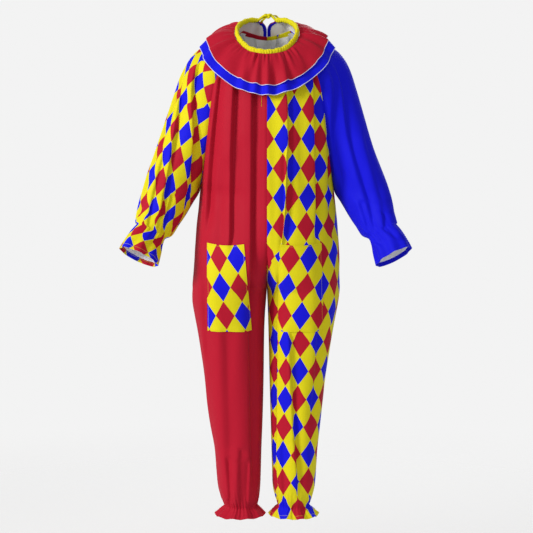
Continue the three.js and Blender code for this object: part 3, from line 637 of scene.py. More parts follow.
def finish_panel(side, face):
    """Outer surface of one body panel with its folds, and its places in the flat cloth."""
    base, normals = bases[side, face]
    folds = FOLDS[side, face]
    away = distance_along(base, 1)
    apart = np.abs(base[..., 0])
    base, normals = crowd_columns(base, normals, away, apart, folds, base[..., 2], "x", PANEL_FINE)
    x = np.abs(base[..., 0])
    z = base[..., 2]
    along_row = distance_along(base, 1)
    length = along_row[:, -1:]
    from_centre = length - along_row
    across = along_row / length
    tangent = unit(np.gradient(base, axis=1))
    tilt = np.maximum(np.abs(tangent[..., 0]), LEAST_TILT)
    relief = np.zeros_like(x)
    lean = np.zeros_like(x)
    hidden = np.zeros_like(x)
    for fold in fold_rows(folds):
        share, place, shows = fold_line(fold, z, "x")
        distance = (x - place) / tilt
        height, leans = fold_form(distance, fold, shows)
        relief += height
        lean += leans
        hidden += hidden_cloth(distance, fold, share, shows)
    edge = np.minimum(along_row, from_centre)
    calm = smooth(edge / EDGE_CALM)
    seed = 3 + (side == LEFT) + 2 * (face == BACK)
    loose = smooth((z - ELASTIC_Z + 10) / 90)
    relief += swells(from_centre, z, seed, PANEL_SWELL) * loose
    near = smooth((z - (ELASTIC_Z + 62)) / -62) * smooth((z - (HEM_Z - 12)) / 24)
    size = mix(BELOW_ELASTIC_SIZE, ABOVE_ELASTIC_SIZE, smooth((z - ELASTIC_Z + 6) / 8))
    relief += size * small_gathers(across, ANKLE_FINE_GATHERS, seed + 20) * near
    relief *= mix(calm, smooth(edge / 5), near)
    relief -= SEAM_GROOVE * np.exp(-((edge / SEAM_HALF_WIDTH) ** 2))
    relief += np.where(np.arange(len(base))[:, None] > chest_fine, ankle_wave(z, across), 0)
    relief -= ANKLE_GROOVE * np.exp(-(((z - ELASTIC_Z) / ANKLE_GROOVE_WIDTH) ** 2))
    if face == FRONT:
        relief, lean = lay_flat_under_pocket(relief, lean, x, z, side)
    # The tangent runs towards the centre line, so a lean outwards goes against it.
    outer = base + normals * relief[..., None] - tangent * (lean * calm)[..., None]
    cloth = distance_along(outer, 1)
    u = cloth[:, -1:] - cloth + hidden
    rows = np.arange(len(x))
    columns = np.argmin(np.abs(x - PRINT_X) + FAR * (from_centre > length / 2), axis=1)
    known = read_table(PRINT_LINE, "z", "u", z[:, 0]) + (x - PRINT_X)[rows, columns]
    u += (known - u[rows, columns])[:, None]
    return outer, u, z, normals, near


# Diamond print: its repeat, and where a point 60 mm from the centre line lies in it by height
DIAMOND_WIDTH = 54
DIAMOND_HEIGHT = 84.4
PRINT_ROWS = table(
    "z row",
    (33, -4),
    (-218.7, -1),
    (-302, 0),
    (-800.5, 6),
    (-892.5, 7),
    (-1315.8, 12),
    (-1484, 14),
)
PRINT_LINE = table(
    "z u",
    (0, 84),
    (-219, 94),
    (-302, 96),
    (-384, 99),
    (-469, 104),
    (-553, 109),
    (-718, 106),
    (-892, 115),
    (-1066, 120),
    (-1236, 124),
    (-1424, 122),
)


def flat_place(u, v):
    """Places in the flat cloth as texture coordinates, one unit to a diamond."""
    return np.stack([u / DIAMOND_WIDTH, v / DIAMOND_HEIGHT], axis=-1)


# Materials. Shared effects are node groups that give masks and heights.
def new_group(name, inputs, outputs):
    group = bpy.data.node_groups.new(name, "ShaderNodeTree")
    for title, default in inputs.items():
        socket = group.interface.new_socket(title, in_out="INPUT", socket_type="NodeSocketFloat")
        socket.default_value = default
    for title in outputs:
        group.interface.new_socket(title, in_out="OUTPUT", socket_type="NodeSocketFloat")
    start = group.nodes.new("NodeGroupInput")
    end = group.nodes.new("NodeGroupOutput")
    return group, start, end


class Net:
    """Short calls for joining shader nodes in one tree."""

    def __init__(self, tree):
        self.tree = tree

    def node(self, kind, **settings):
        made = self.tree.nodes.new(kind)
        for name, value in settings.items():
            setattr(made, name, value)
        return made

    def join(self, source, target):
        self.tree.links.new(source, target)

    def feed(self, socket, value):
        if isinstance(value, bpy.types.NodeSocket):
            self.join(value, socket)
        else:
            socket.default_value = value

    def math(self, operation, *values):
        made = self.node("ShaderNodeMath", operation=operation)
        for socket, value in zip(made.inputs, values):
            self.feed(socket, value)
        return made.outputs[0]

    def soft_step(self, value, low, high):
        made = self.node("ShaderNodeMapRange", interpolation_type="SMOOTHSTEP")
        self.feed(made.inputs["Value"], value)
        self.feed(made.inputs["From Min"], low)
        self.feed(made.inputs["From Max"], high)
        return made.outputs["Result"]

    def places(self, layer):
        split = self.node("ShaderNodeSeparateXYZ")
        self.join(self.node("ShaderNodeUVMap", uv_map=layer).outputs["UV"], split.inputs[0])
        return split.outputs["X"], split.outputs["Y"]

    def noise(self, layer, scale_x, scale_y, detail):
        stretch = self.node("ShaderNodeMapping")
        flat = self.node("ShaderNodeUVMap", uv_map=layer)
        self.join(flat.outputs["UV"], stretch.inputs["Vector"])
        stretch.inputs["Scale"].default_value = (scale_x, scale_y, 1)
        made = self.node("ShaderNodeTexNoise")
        made.inputs["Scale"].default_value = 1
        made.inputs["Detail"].default_value = detail
        self.join(stretch.outputs["Vector"], made.inputs["Vector"])
        return made.outputs["Fac"]


def diamond_group():
    """Harlequin repeat: which places are diamonds, and which of those are blue."""
    group, _, end = new_group("harlequin repeat", {}, ("Diamond", "Blue"))
    net = Net(group)
    u, v = net.places("cloth")
    rising = net.math("ROUND", net.math("ADD", u, v))
    falling = net.math("ROUND", net.math("SUBTRACT", u, v))
    odd = net.math("FLOORED_MODULO", net.math("ADD", rising, falling), 2.0)
    net.join(net.math("SUBTRACT", 1.0, odd), end.inputs["Diamond"])
    net.join(net.math("FLOORED_MODULO", rising, 2.0), end.inputs["Blue"])
    return group


THREADS_ACROSS = 90
THREADS_DOWN = 140


def weave_group():
    """Plain weave of fine threads, and the slow unevenness of a light woven cloth."""
    group, start, end = new_group("light weave", {"Strength": 1.0}, ("Height", "Tone", "Gloss"))
    net = Net(group)
    u, v = net.places("cloth")
    warp = net.math("SINE", net.math("MULTIPLY", u, THREADS_ACROSS * 2 * math.pi))
    weft = net.math("SINE", net.math("MULTIPLY", v, THREADS_DOWN * 2 * math.pi))
    threads = net.math("MULTIPLY", net.math("MULTIPLY", warp, weft), 0.5)
    slubs = net.noise("cloth", 60, 9, 2)
    crinkles = net.noise("cloth", 5, 2.2, 3)
    height = net.math("MULTIPLY_ADD", crinkles, 6.0, net.math("MULTIPLY_ADD", slubs, 0.8, threads))
    net.join(net.math("MULTIPLY", height, start.outputs["Strength"]), end.inputs["Height"])
    tone = net.math("MULTIPLY_ADD", slubs, 0.5, net.math("MULTIPLY", crinkles, 0.5))
    net.join(tone, end.inputs["Tone"])
    net.join(net.noise("cloth", 2.3, 1.4, 2), end.inputs["Gloss"])
    return group


PANEL_STITCH = 0.010
POCKET_STITCH = 0.004
STITCH_PITCH = 0.003
EDGE_WIDTH = 0.0016
THREAD_CORE = 0.0003
THREAD_RIM = 0.0007
STITCH_DENT = 0.0035


def hem_group():
    """Row of machine stitches beside an edge, and the edge's own line."""
    inputs = {"Distance": PANEL_STITCH, "Pitch": STITCH_PITCH, "Edge width": EDGE_WIDTH}
    group, start, end = new_group("hem stitches", inputs, ("Stitch", "Edge", "Height"))
    net = Net(group)
    along, away = net.places("edge")
    beat = net.math("FRACT", net.math("DIVIDE", along, start.outputs["Pitch"]))
    thread = net.soft_step(net.math("ABSOLUTE", net.math("SUBTRACT", beat, 0.5)), 0.42, 0.3)
    off_line = net.math("ABSOLUTE", net.math("SUBTRACT", away, start.outputs["Distance"]))
    line = net.soft_step(off_line, THREAD_RIM, THREAD_CORE)
    stitch = net.math("MULTIPLY", thread, line)
    net.join(stitch, end.inputs["Stitch"])
    edge_width = start.outputs["Edge width"]
    near = net.math("DIVIDE", away, edge_width)
    net.join(net.soft_step(near, 1.15, 0.85), end.inputs["Edge"])
    dent = net.soft_step(off_line, STITCH_DENT, 0.0)
    height = net.math("SUBTRACT", net.math("MULTIPLY", stitch, 0.5), dent)
    net.join(height, end.inputs["Height"])
    return group


GROUPS = {"diamonds": diamond_group(), "weave": weave_group(), "hem": hem_group()}

RED = (0.46, 0.007, 0.026)
BLUE = (0.006, 0.006, 0.70)
YELLOW = (0.75, 0.665, 0.008)
WHITE = (0.90, 0.90, 0.91)
PALE_EDGE = (0.72, 0.72, 0.86)
RED_THREAD = (0.36, 0.008, 0.02)
BLUE_THREAD = (0.006, 0.006, 0.5)
YELLOW_THREAD = (0.62, 0.53, 0.01)
SHADED_TONE = (0.9, 0.9, 0.9)
TONE_VARIES = 0.14
STITCH_SHOWS = 0.7
GLOSS_LEAST = 0.58
GLOSS_VARIES = 0.16
SPECULAR = 0.12
SHEEN = 0.03
SHEEN_ROUGHNESS = 0.45
HEM_RELIEF = 4.0
BUMP_STRENGTH = 0.5
BUMP_DISTANCE = 0.0001


def cloth_material(name, colour, thread=None, stitch=PANEL_STITCH, pale_edge=False, show=1.0):
    """Finish of one cloth: its colour or print, weave, hem stitches and soft sheen."""
    material = bpy.data.materials.new(name)
    material.use_nodes = True
    material.node_tree.nodes.clear()
    net = Net(material.node_tree)

    def placed(kind):
        made = net.node("ShaderNodeGroup")
        made.node_tree = GROUPS[kind]
        return made

    def blend(factor, a, b, how="MIX"):
        made = net.node("ShaderNodeMix", data_type="RGBA", blend_type=how)
        net.feed(made.inputs["Factor"], factor)
        for socket, value in ((made.inputs[6], a), (made.inputs[7], b)):
            net.feed(socket, value if isinstance(value, bpy.types.NodeSocket) else (*value, 1))
        return made.outputs[2]

    weave = placed("weave")
    hem = placed("hem")
    hem.inputs["Distance"].default_value = stitch
    if colour == "harlequin":
        print_repeat = placed("diamonds")
        dark = blend(print_repeat.outputs["Blue"], RED, BLUE)
        base = blend(print_repeat.outputs["Diamond"], YELLOW, dark)
    else:
        base = colour
    tone = net.soft_step(weave.outputs["Tone"], 0.2, 0.8)
    base = blend(net.math("MULTIPLY", tone, TONE_VARIES), base, SHADED_TONE, "MULTIPLY")
    if thread is not None:
        base = blend(net.math("MULTIPLY", hem.outputs["Stitch"], STITCH_SHOWS), base, thread)
    if pale_edge:
        base = blend(hem.outputs["Edge"], base, PALE_EDGE)
    shader = net.node("ShaderNodeBsdfPrincipled")
    net.join(base, shader.inputs["Base Color"])
    gloss = net.math("MULTIPLY_ADD", weave.outputs["Gloss"], GLOSS_VARIES, GLOSS_LEAST)
    net.join(gloss, shader.inputs["Roughness"])
    shader.inputs["Specular IOR Level"].default_value = SPECULAR
    shader.inputs["Sheen Weight"].default_value = SHEEN
    shader.inputs["Sheen Roughness"].default_value = SHEEN_ROUGHNESS
    height = net.math("MULTIPLY_ADD", hem.outputs["Height"], HEM_RELIEF, weave.outputs["Height"])
    bump = net.node("ShaderNodeBump")
    bump.inputs["Strength"].default_value = BUMP_STRENGTH * show
    bump.inputs["Distance"].default_value = BUMP_DISTANCE
    net.join(height, bump.inputs["Height"])
    net.join(bump.outputs["Normal"], shader.inputs["Normal"])
    output = net.node("ShaderNodeOutputMaterial")
    net.join(shader.outputs["BSDF"], output.inputs["Surface"])
    return material


LOOKS = {
    "red": cloth_material("red polyester", RED, RED_THREAD),
    "blue": cloth_material("blue polyester", BLUE, BLUE_THREAD),
    "yellow": cloth_material("yellow polyester", YELLOW, YELLOW_THREAD),
    "harlequin": cloth_material("harlequin print polyester", "harlequin", YELLOW_THREAD),
    "pocket": cloth_material("pocket print", "harlequin", YELLOW_THREAD, POCKET_STITCH),
    "wrong": cloth_material("wrong side of the cloth", WHITE, show=0.8),
    "red tier": cloth_material("red ruffle", RED, pale_edge=True),
    "blue tier": cloth_material("blue ruffle", BLUE, pale_edge=True),
}


SMOOTH_ANGLE = 62


def cloth_shell(name, outer, inner, places, edges, looks, inside, sense):
    """A closed thin wall of cloth: an outer and an inner surface with a rim round them. inside
    says which of its looks the inner faces have, for all of them or for each."""
    rows, columns = outer.shape[:2]
    index = np.arange(rows * columns).reshape(rows, columns)
    top = rows * columns

    def quads(a, b, c, d, flip):
        found = np.stack([a, b, c, d], axis=-1).reshape(-1, 4)
        return found[:, ::-1] if flip else found

    flip = sense < 0
    corners = (index[:-1, :-1], index[1:, :-1], index[1:, 1:], index[:-1, 1:])
    skin = quads(*corners, not flip)
    lining = quads(*(corner + top for corner in corners), flip)
    loop = np.concatenate([index[0, :-1], index[:-1, -1], index[-1, :0:-1], index[:0:-1, 0]])
    after = np.roll(loop, -1)
    rim = quads(loop, after, after + top, loop + top, not flip)
    faces = np.concatenate([skin, lining, rim])
    points = np.concatenate([outer.reshape(-1, 3), inner.reshape(-1, 3)]) * MM
    mesh = bpy.data.meshes.new(name)
    mesh.from_pydata(points.tolist(), [], faces.tolist())
    corner_points = np.zeros(len(mesh.loops), int)
    mesh.loops.foreach_get("vertex_index", corner_points)
    for layer, values in (("cloth", places), ("edge", edges)):
        both = np.concatenate([values.reshape(-1, 2)] * 2)
        mesh.uv_layers.new(name=layer).data.foreach_set("uv", both[corner_points].ravel())
    chosen = np.zeros(len(faces), np.int32)
    chosen[len(skin) : len(skin) + len(lining)] = np.ravel(inside)
    for look in looks:
        mesh.materials.append(LOOKS[look])
    mesh.polygons.foreach_set("material_index", chosen)
    mesh.shade_smooth()
    mesh.set_sharp_from_angle(angle=math.radians(SMOOTH_ANGLE))
    mesh.validate()
    mesh.update()
    made = bpy.data.objects.new(name, mesh)
    bpy.context.scene.collection.objects.link(made)
    return made


def edge_places(grid, edges):
    """Distance along the nearest of the named edges, and away from it, in metres."""
    rows, columns = grid.shape[:2]
    across = distance_along(grid, 1)
    down = distance_along(grid, 0)
    choices = {
        "top": (across, down),
        "bottom": (across, down[-1:] - down),
        "start": (down, across),
        "end": (down, across[:, -1:] - across),
    }
    along = np.zeros((rows, columns))
    away = np.full((rows, columns), FAR)
    for edge in edges:
        near = choices[edge][1] < away
        along = np.where(near, choices[edge][0], along)
        away = np.where(near, choices[edge][1], away)
    return np.stack([along, away], axis=-1) * MM


def hemmed_shell(name, outer, inner, places, edges, away, look, sense):
    """A shell that shows its cloth's wrong side inside, but for its turned hems."""
    mean = (away[:-1, :-1] + away[1:, :-1] + away[:-1, 1:] + away[1:, 1:]) / 4
    wrong = mean >= HEM_TURN
    return cloth_shell(name, outer, inner, places, edges, (look, "wrong"), wrong, sense)


def inner_surface(outer, sense, away, plain, gathered):
    """Wrong side of the cloth: one thickness in and over two at a turned hem, square to its own
    folds, or to the plain form under them where it is finely gathered."""
    thick = np.where(away < HEM_TURN, HEM_THICK, CLOTH_THICK) + ELASTIC_THICK * gathered
    normals = normals_of(outer, sense)
    eased = normals.copy()
    eased[1:-1] += normals[:-2] + normals[2:]
    square = mix(unit(eased), plain, gathered[..., None])
    return outer - unit(square) * thick[..., None]


def dress(made, node):
    """Hangs a piece on the root body and hides the frame's part of the given node."""
    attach(made, "root")
    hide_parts(node)


def make_panel(side, face, look, name, node):
    """One body panel with its leg; gives back its outer surface."""
    outer, u, z, normals, gathered = finish_panel(side, face)
    sense = -side * face
    v = np.interp(-z, -PRINT_ROWS["z"], PRINT_ROWS["row"]) * DIAMOND_HEIGHT
    places = flat_place(u, v)
    edges = edge_places(outer, ("top", "bottom"))
    away = edges[..., 1] / MM
    inner = inner_surface(outer, sense, away, normals, gathered)
    made = hemmed_shell(name, outer, inner, places, edges, away, look, sense)
    dress(made, node)
    return outer


fronts = {
    RIGHT: make_panel(RIGHT, FRONT, "red", "red_front", "front_right"),
    LEFT: make_panel(LEFT, FRONT, "harlequin", "print_front", "front_left"),
}
make_panel(RIGHT, BACK, "red", "red_back", "back_right")
make_panel(LEFT, BACK, "harlequin", "print_back", "back_left")

# Print of the sleeves: where its rows lie down the sleeve and how they slant to the front, how far
# from the outer line its middle column runs, and how far apart its columns show between folds.
SLEEVE_PRINT = table(
    "place row slant middle pitch",
    (0, -1, 0.08, 96, 48),
    (158, 1, 0.08, 98, 43),
    (234, 2, 0.05, 97, 38),
    (318, 3, 0.08, 99, 35),
    (396, 4, 0.20, 101, 36),
    (478, 5, 0.42, 103, 37),
    (560, 6, 0.36, 91, 34),
    (648, 7, 0.05, 76, 36),
    (698, 8, 0, 90, 50),
    (720, 8.3, 0, 94, 54),
)
CUFF_TIP = 8
CUFF_LENGTH = 60
PRINT_SLANT_REACH = 190
EVEN_PRINT_FROM = 560
EVEN_PRINT_WITHIN = 70
ABOVE_WRIST = 60
BELOW_WRIST = 48


def sleeve_print(place, apart, cloth):
    """Flat places of a sleeve's cloth, from its own line across and the rows of its print."""
    middle = read_table(SLEEVE_PRINT, "place", "middle", place[:, 0])
    pitch = read_table(SLEEVE_PRINT, "place", "pitch", place[:, 0])
    at_outer = np.array([np.interp(0, -line, passed) for line, passed in zip(apart, cloth)])
    rows = zip(middle, apart, cloth)
    at_middle = np.array([np.interp(-column, -line, passed) for column, line, passed in rows])
    rate = at_outer / apart[:, 0]
    scale = DIAMOND_WIDTH / (pitch * rate)
    u = (at_middle[:, None] - cloth) * scale[:, None]
    even = (apart - middle[:, None]) * (DIAMOND_WIDTH / pitch)[:, None]
    u = mix(u, even, smooth((place - EVEN_PRINT_FROM) / EVEN_PRINT_WITHIN))
    slant = read_table(SLEEVE_PRINT, "place", "slant", place[:, 0])[:, None]
    level = place - slant * (np.clip(apart, 0, PRINT_SLANT_REACH) - middle[:, None])
    v = read_table(SLEEVE_PRINT, "place", "row", level) * DIAMOND_HEIGHT
    return flat_place(u, v)


def finish_sleeve(side):
    """Outer surface of one sleeve with its folds and cuff, and its places in the flat cloth."""
    base, normals = bases[side, "sleeve"]
    folds = SLEEVE_FOLDS[side]
    down = distance_along(base, 0)
    place = down[:, [SLEEVE_COLUMNS // 2]]
    away = distance_along(base, 1)
    middle = away[:, [SLEEVE_COLUMNS]]
    base, normals = crowd_columns(
        base, normals, away, middle - away, folds, place, "s", SLEEVE_FINE
    )
    around = distance_along(base, 1)
    length = around[:, -1:]
    across = around / length
    apart = middle - around
    place = place + 0 * across
    relief = np.zeros_like(across)
    lean = np.zeros_like(across)
    hidden = np.zeros_like(across)
    for fold in fold_rows(folds):
        share, at, shows = fold_line(fold, place, "s")
        distance = at - apart
        height, leans = fold_form(distance, fold, shows)
        relief += height
        lean += leans
        hidden += hidden_cloth(distance, fold, share, shows)
    seam = np.minimum(around, length - around)
    wrist = place[sum(sleeve_splits[:WRIST_PLACE]), 0]
    seed = 11 + (side == LEFT)
    relief += swells(around, place, seed, SLEEVE_SWELL) * smooth((place - 90) / 60)
    calm = smooth(seam / EDGE_CALM)
    relief *= calm
    wave_rows = np.concatenate([np.zeros(CHEST_ROWS), SLEEVE_ROWS["wave"]])
    starts = np.concatenate([[0], np.cumsum(sleeve_splits)])
    waves = np.interp(np.arange(len(base)), starts, wave_rows)[:, None]
    ruffle = waves * (np.cos(2 * np.pi * CUFF_WAVES * across) - 1) * 0.5
    reach = np.where(place > wrist, BELOW_WRIST, ABOVE_WRIST)
    near = smooth(1 - np.abs(place - wrist) / reach)
    fine = small_gathers(across, WRIST_FINE_GATHERS, seed + 20) * near * smooth(seam / 6)
    relief = relief * mix(1, 0.45, near) + ruffle + WRIST_GATHER_SIZE * fine
    relief -= SEAM_GROOVE * np.exp(-((seam / SEAM_HALF_WIDTH) ** 2))
    relief -= WRIST_GROOVE * np.exp(-(((place - wrist) / WRIST_GROOVE_WIDTH) ** 2))
    tangent = unit(np.gradient(base, axis=1))
    outer = base + normals * relief[..., None] + tangent * (lean * calm * (1 - near))[..., None]
    # The mouth of the cuff dips at the back, so that it opens towards the front.
    tip = CUFF_TIP * smooth((place - wrist) / CUFF_LENGTH) * np.sin(2 * np.pi * across)
    outer[..., 2] += tip
    cloth = distance_along(outer, 1) + hidden
    return outer, sleeve_print(place, apart, cloth), normals, near


def make_sleeve(side, look, name, node):
    """One raglan sleeve with its ruffled cuff."""
    outer, places, normals, gathered = finish_sleeve(side)
    sense = -side
    edges = edge_places(outer, ("top", "bottom"))
    away = edges[..., 1] / MM
    inner = inner_surface(outer, sense, away, normals, smooth(gathered * 3))
    made = hemmed_shell(name, outer, inner, places, edges, away, look, sense)
    dress(made, node)


make_sleeve(RIGHT, "harlequin", "print_sleeve", "sleeve_right")
make_sleeve(LEFT, "blue", "blue_sleeve", "sleeve_left")

# Patch pockets lie on the front panels. Their print starts at a place of its own and leans.
POCKET_ROWS = 60
POCKET_COLUMNS = 44
POCKET_LIFT = 2.1
POCKET_UNDER = 0.7
POCKET_EVENINGS = 6
POCKET_GAPE = 2.4
POCKET_SAG = 5
POCKET_PRINT = table("side u z lean", (RIGHT, -32.4, -640, 0.094), (LEFT, 41.4, -640, 0.08))


def point_across(row, away):
    """Point of one row of a panel at a distance from the centre line, from its widest place in."""
    x = np.abs(row[:, 0])
    widest = int(np.argmax(x))
    falling = np.minimum.accumulate(x[widest:])
    column = np.interp(-away, -falling, np.arange(widest, len(x)))
    j = min(int(column), len(x) - 2)
    return mix(row[j], row[j + 1], column - j)


def even_out(grid):
    """Each point becomes the mean of its neighbours, a few times over."""
    for _ in range(POCKET_EVENINGS):
        for axis in (0, 1):
            padded = np.concatenate(
                [np.take(grid, [0], axis), grid, np.take(grid, [-1], axis)], axis=axis
            )
            count = grid.shape[axis]
            before, after = (np.take(padded, range(n, n + count), axis) for n in (0, 2))
            grid = (before + 2 * grid + after) / 4
    return grid


def make_pocket(side, name, node):
    """One patch pocket, laid on the front panel and gaping a little at its mouth."""
    corners = POCKET[side]
    down = np.linspace(0, 1, POCKET_ROWS + 1)[:, None]
    right = np.linspace(0, 1, POCKET_COLUMNS + 1)[None, :]
    sag = POCKET_SAG * np.sin(np.pi * right) * (1 - down)
    z = mix(POCKET_TOP, POCKET_BOTTOM, down) - sag
    outer_edge = mix(corners["topOuter"], corners["bottomOuter"], down)
    inner_edge = mix(corners["topInner"], corners["bottomInner"], down)
    x = mix(outer_edge, inner_edge, right)
    plain = bases[side, FRONT][0]
    heights = plain[:, 0, 2]
    rows = np.interp(-z, -heights, np.arange(len(heights)))
    lying = np.zeros((2, *rows.shape, 3))
    for grid, found in zip((fronts[side], plain), lying):
        for i, j in np.ndindex(rows.shape):
            k = int(rows[i, j])
            above, below = (point_across(grid[n], x[i, j]) for n in (k, k + 1))
            found[i, j] = mix(above, below, rows[i, j] - k)
    # The pocket's own cloth is double at its edges and evens out what it lies on.
    smoothed = even_out(lying[0] - lying[1])
    ground = lying[1] + smoothed
    normals = normals_of(ground, side)
    gape = POCKET_GAPE * np.sin(np.pi * right) ** 1.5 * np.exp(-((down * 6) ** 2))
    outer = ground + normals * (POCKET_LIFT + gape)[..., None]
    inner = ground + normals * (POCKET_UNDER + gape)[..., None]
    row = int(side == LEFT)
    measured = distance_along(lying[1], 1)
    drop = POCKET_PRINT["z"][row] - z
    u = measured[:, -1:] - measured + inner_edge + POCKET_PRINT["lean"][row] * drop
    places = flat_place(u + POCKET_PRINT["u"][row], drop)
    edges = edge_places(outer, ("top", "bottom", "start", "end"))
    made = cloth_shell(name, outer, inner, places, edges, ("pocket", "wrong"), 1, side)
    dress(made, node)


make_pocket(RIGHT, "print_pocket_on_red", "pocket_right")
make_pocket(LEFT, "print_pocket_on_print", "pocket_left")

# Collar: by azimuth from the front at 0 to the back at 180, round a centre.
COLLAR = table(
    "azimuth ringR ringZ crestR crestZ upperR upperZ lowerR lowerZ",
    (0, 84, -59, 121, -92, 139, -152, 146, -178),
    (30, 85, -52, 124, -82, 146, -136, 157, -161),
    (60, 87, -26, 130, -44, 165, -84, 183, -106),
    (90, 87, 5, 134, 10, 176, -19, 198, -39),
    (120, 86, 29, 134, 40, 174, -6, 193, -34),
    (150, 87, 41, 122, 50, 150, -20, 162, -54),
    (180, 83, 40, 110, 48, 134, -38, 143, -72),
)
COLLAR_CENTRE_Y = -12
BAND_HEIGHT = 17
BAND_THICK = 10
BAND_BACK_GAP = 26
BAND_CLEARANCE = 2.4
BAND_SEAM = 0.2
TIER_SEAM = 3.2
TIER_DROP = 4.4
TIER_GROWS = 0.34
FLUTES = 19
FLUTE = 4.4
SLIT_TOP = 24
SLIT_CLOSED_AT = 0.62
SLIT_BOTTOM = 0.5
TIER_SEED = 5
TIER_COLUMNS = 620
TIER_ROWS = 30
LOWER_ROWS = 12
HEM_FREE_FROM = 0.55
LOWER_HEM_ANSWERS = -0.4
SLIT_HEM_THICK = 1.4


def collar_row(azimuth):
    """Sizes of the collar at any azimuth, the same on both sides."""
    degrees = np.abs(np.degrees(azimuth))
    return {name: read_table(COLLAR, "azimuth", name, degrees) for name in COLLAR}


def flute_height(azimuth):
    """Uneven flutes that run from the band to the hem."""
    phase = FLUTES * azimuth + 1.5 * np.sin(3 * azimuth + 0.6) + 0.7 * np.sin(7 * azimuth + 2)
    size = 1 + 0.45 * np.sin(5 * azimuth + 1.1) + 0.25 * np.sin(8 * azimuth)
    return size * np.sin(phase)


def collar_fall(azimuth, along, under):
    """Surface of the collar: along runs from the band to the upper edge at 1 and lower at 2."""
    row = collar_row(azimuth)
    start_r = row["ringR"] + BAND_THICK / 2 + BAND_CLEARANCE
    start_z = row["ringZ"] - BAND_HEIGHT * BAND_SEAM
    t = np.minimum(1, along)

    def bend(a, b, c):
        return (1 - t) ** 2 * a + 2 * t * (1 - t) * b + t * t * c

    def slope(a, b, c):
        return 2 * (1 - t) * (b - a) + 2 * t * (c - b)

    past = np.maximum(0, along - 1)
    r = bend(start_r, row["crestR"], row["upperR"]) + (row["lowerR"] - row["upperR"]) * past
    z = bend(start_z, row["crestZ"], row["upperZ"]) + (row["lowerZ"] - row["upperZ"]) * past
    out_r = slope(start_r, row["crestR"], row["upperR"])
    out_z = slope(start_z, row["crestZ"], row["upperZ"])
    blend = smooth(past * 6)
    out_r = mix(out_r, (row["lowerR"] - row["upperR"]) * 2, blend)
    out_z = mix(out_z, (row["lowerZ"] - row["upperZ"]) * 2, blend)
    size = np.hypot(out_r, out_z)
    normal_r = -out_z / size
    normal_z = out_r / size
    swell = smooth(along) * FLUTE * flute_height(azimuth) - under
    r = r + normal_r * swell
    z = z + normal_z * swell
    return np.stack([r * np.sin(azimuth), COLLAR_CENTRE_Y - r * np.cos(azimuth), z], axis=-1)


TIER_GATHERS = table(
    "waves size reach",
    (52, 1.7, 0.42),
    (71, 0.9, 0.3),
    (31, 1.9, 0.8),
    (94, 0.3, 0.2),
)


def tier_relief(azimuth, along):
    """Finer gathers that start at the band and run out at uneven lengths."""
    rng = np.random.default_rng(TIER_SEED)
    height = np.zeros_like(along + azimuth)
    for waves, size, reach in zip(*TIER_GATHERS.values()):
        drift = rng.uniform(0.5, 1.2) * np.sin(4 * azimuth + rng.uniform(0, 6))
        uneven = 0.7 + 0.5 * np.sin(7 * azimuth + rng.uniform(0, 6))
        fall = np.exp(-((along / (reach * (0.7 + 0.3 * uneven))) ** 2))
        start = smooth(along / 0.06)
        wave = np.sin(waves * azimuth + drift + rng.uniform(0, 6))
        height += size * uneven * wave * fall * start
    return height


# Places where a tier's hem swings in and out and stands off what is below it
HEM_SWINGS = table(
    "azimuth reach lift width",
    (-150, -4, 3, 7),
    (-112, 4, 3, 7),
    (-65, 5, 5, 6),
    (-42, -2, 2, 6),
    (-27, 4, 4, 5),
    (-9, 3, 3, 4),
    (20, -5, 5, 5),
    (38, 2, 2, 6),
    (57, -4, 4, 5),
    (98, 4, 3, 6),
    (146, 5, 4, 7),
)
HEM_FULL_REACH = 125


def hem_swing(azimuth):
    """How far the hem reaches out and how far it is lifted, at each azimuth."""
    reach = np.zeros_like(azimuth)
    lift = np.zeros_like(azimuth)
    for place, out, up, width in zip(*HEM_SWINGS.values()):
        e = (np.degrees(azimuth) - place) / width
        bell = np.exp(-(e**2))
        reach += out * e * bell * 1.6
        lift += up * bell
    return reach, lift


def make_tier(name, node, look, last, under_from, under_to):
    """One tier of the collar; last is 1 for the upper one and 2 for the lower one under it."""
    along = np.linspace(0, 1, TIER_ROWS + 1)
    if last > 1:
        along = np.concatenate([along, np.linspace(1, last, LOWER_ROWS + 1)[1:]])
    along = along[:, None]
    back = collar_row(np.array([np.pi]))
    gap = mix(SLIT_TOP, SLIT_BOTTOM, smooth(along / SLIT_CLOSED_AT))
    near = mix(back["ringR"], back["upperR"], np.minimum(1, along))
    limit = np.pi - np.arcsin(gap / near)
    azimuth = limit * np.linspace(-1, 1, TIER_COLUMNS + 1)[None, :]
    under = mix(under_from, under_to, smooth(along / TIER_GROWS))
    reach, lift = hem_swing(azimuth)
    if last > 1:
        reach, lift = LOWER_HEM_ANSWERS * reach, 0
    near_hem = smooth((along / last - HEM_FREE_FROM) / (1 - HEM_FREE_FROM))
    relief = tier_relief(azimuth, along) + lift * near_hem
    outer = collar_fall(azimuth, along + near_hem * reach / HEM_FULL_REACH, under - relief)
    edges = edge_places(outer, ("bottom",))
    slit = edge_places(outer, ("start", "end"))[..., 1] / MM
    around = azimuth * back["crestR"]
    down = distance_along(outer, 0)[:, [TIER_COLUMNS // 2]]
    places = flat_place(around, down + 0 * around)
    thick = np.where(slit < HEM_TURN, SLIT_HEM_THICK, CLOTH_THICK)
    inner = outer - normals_of(outer, -1) * thick[..., None]
    made = hemmed_shell(name, outer, inner, places, edges, slit, look, -1)
    dress(made, node)


make_tier("red_ruffle", "collar_upper", "red tier", 1, 0, 0)
make_tier(
    "blue_ruffle", "collar_lower", "blue tier",
    2, TIER_SEAM, TIER_DROP,
)


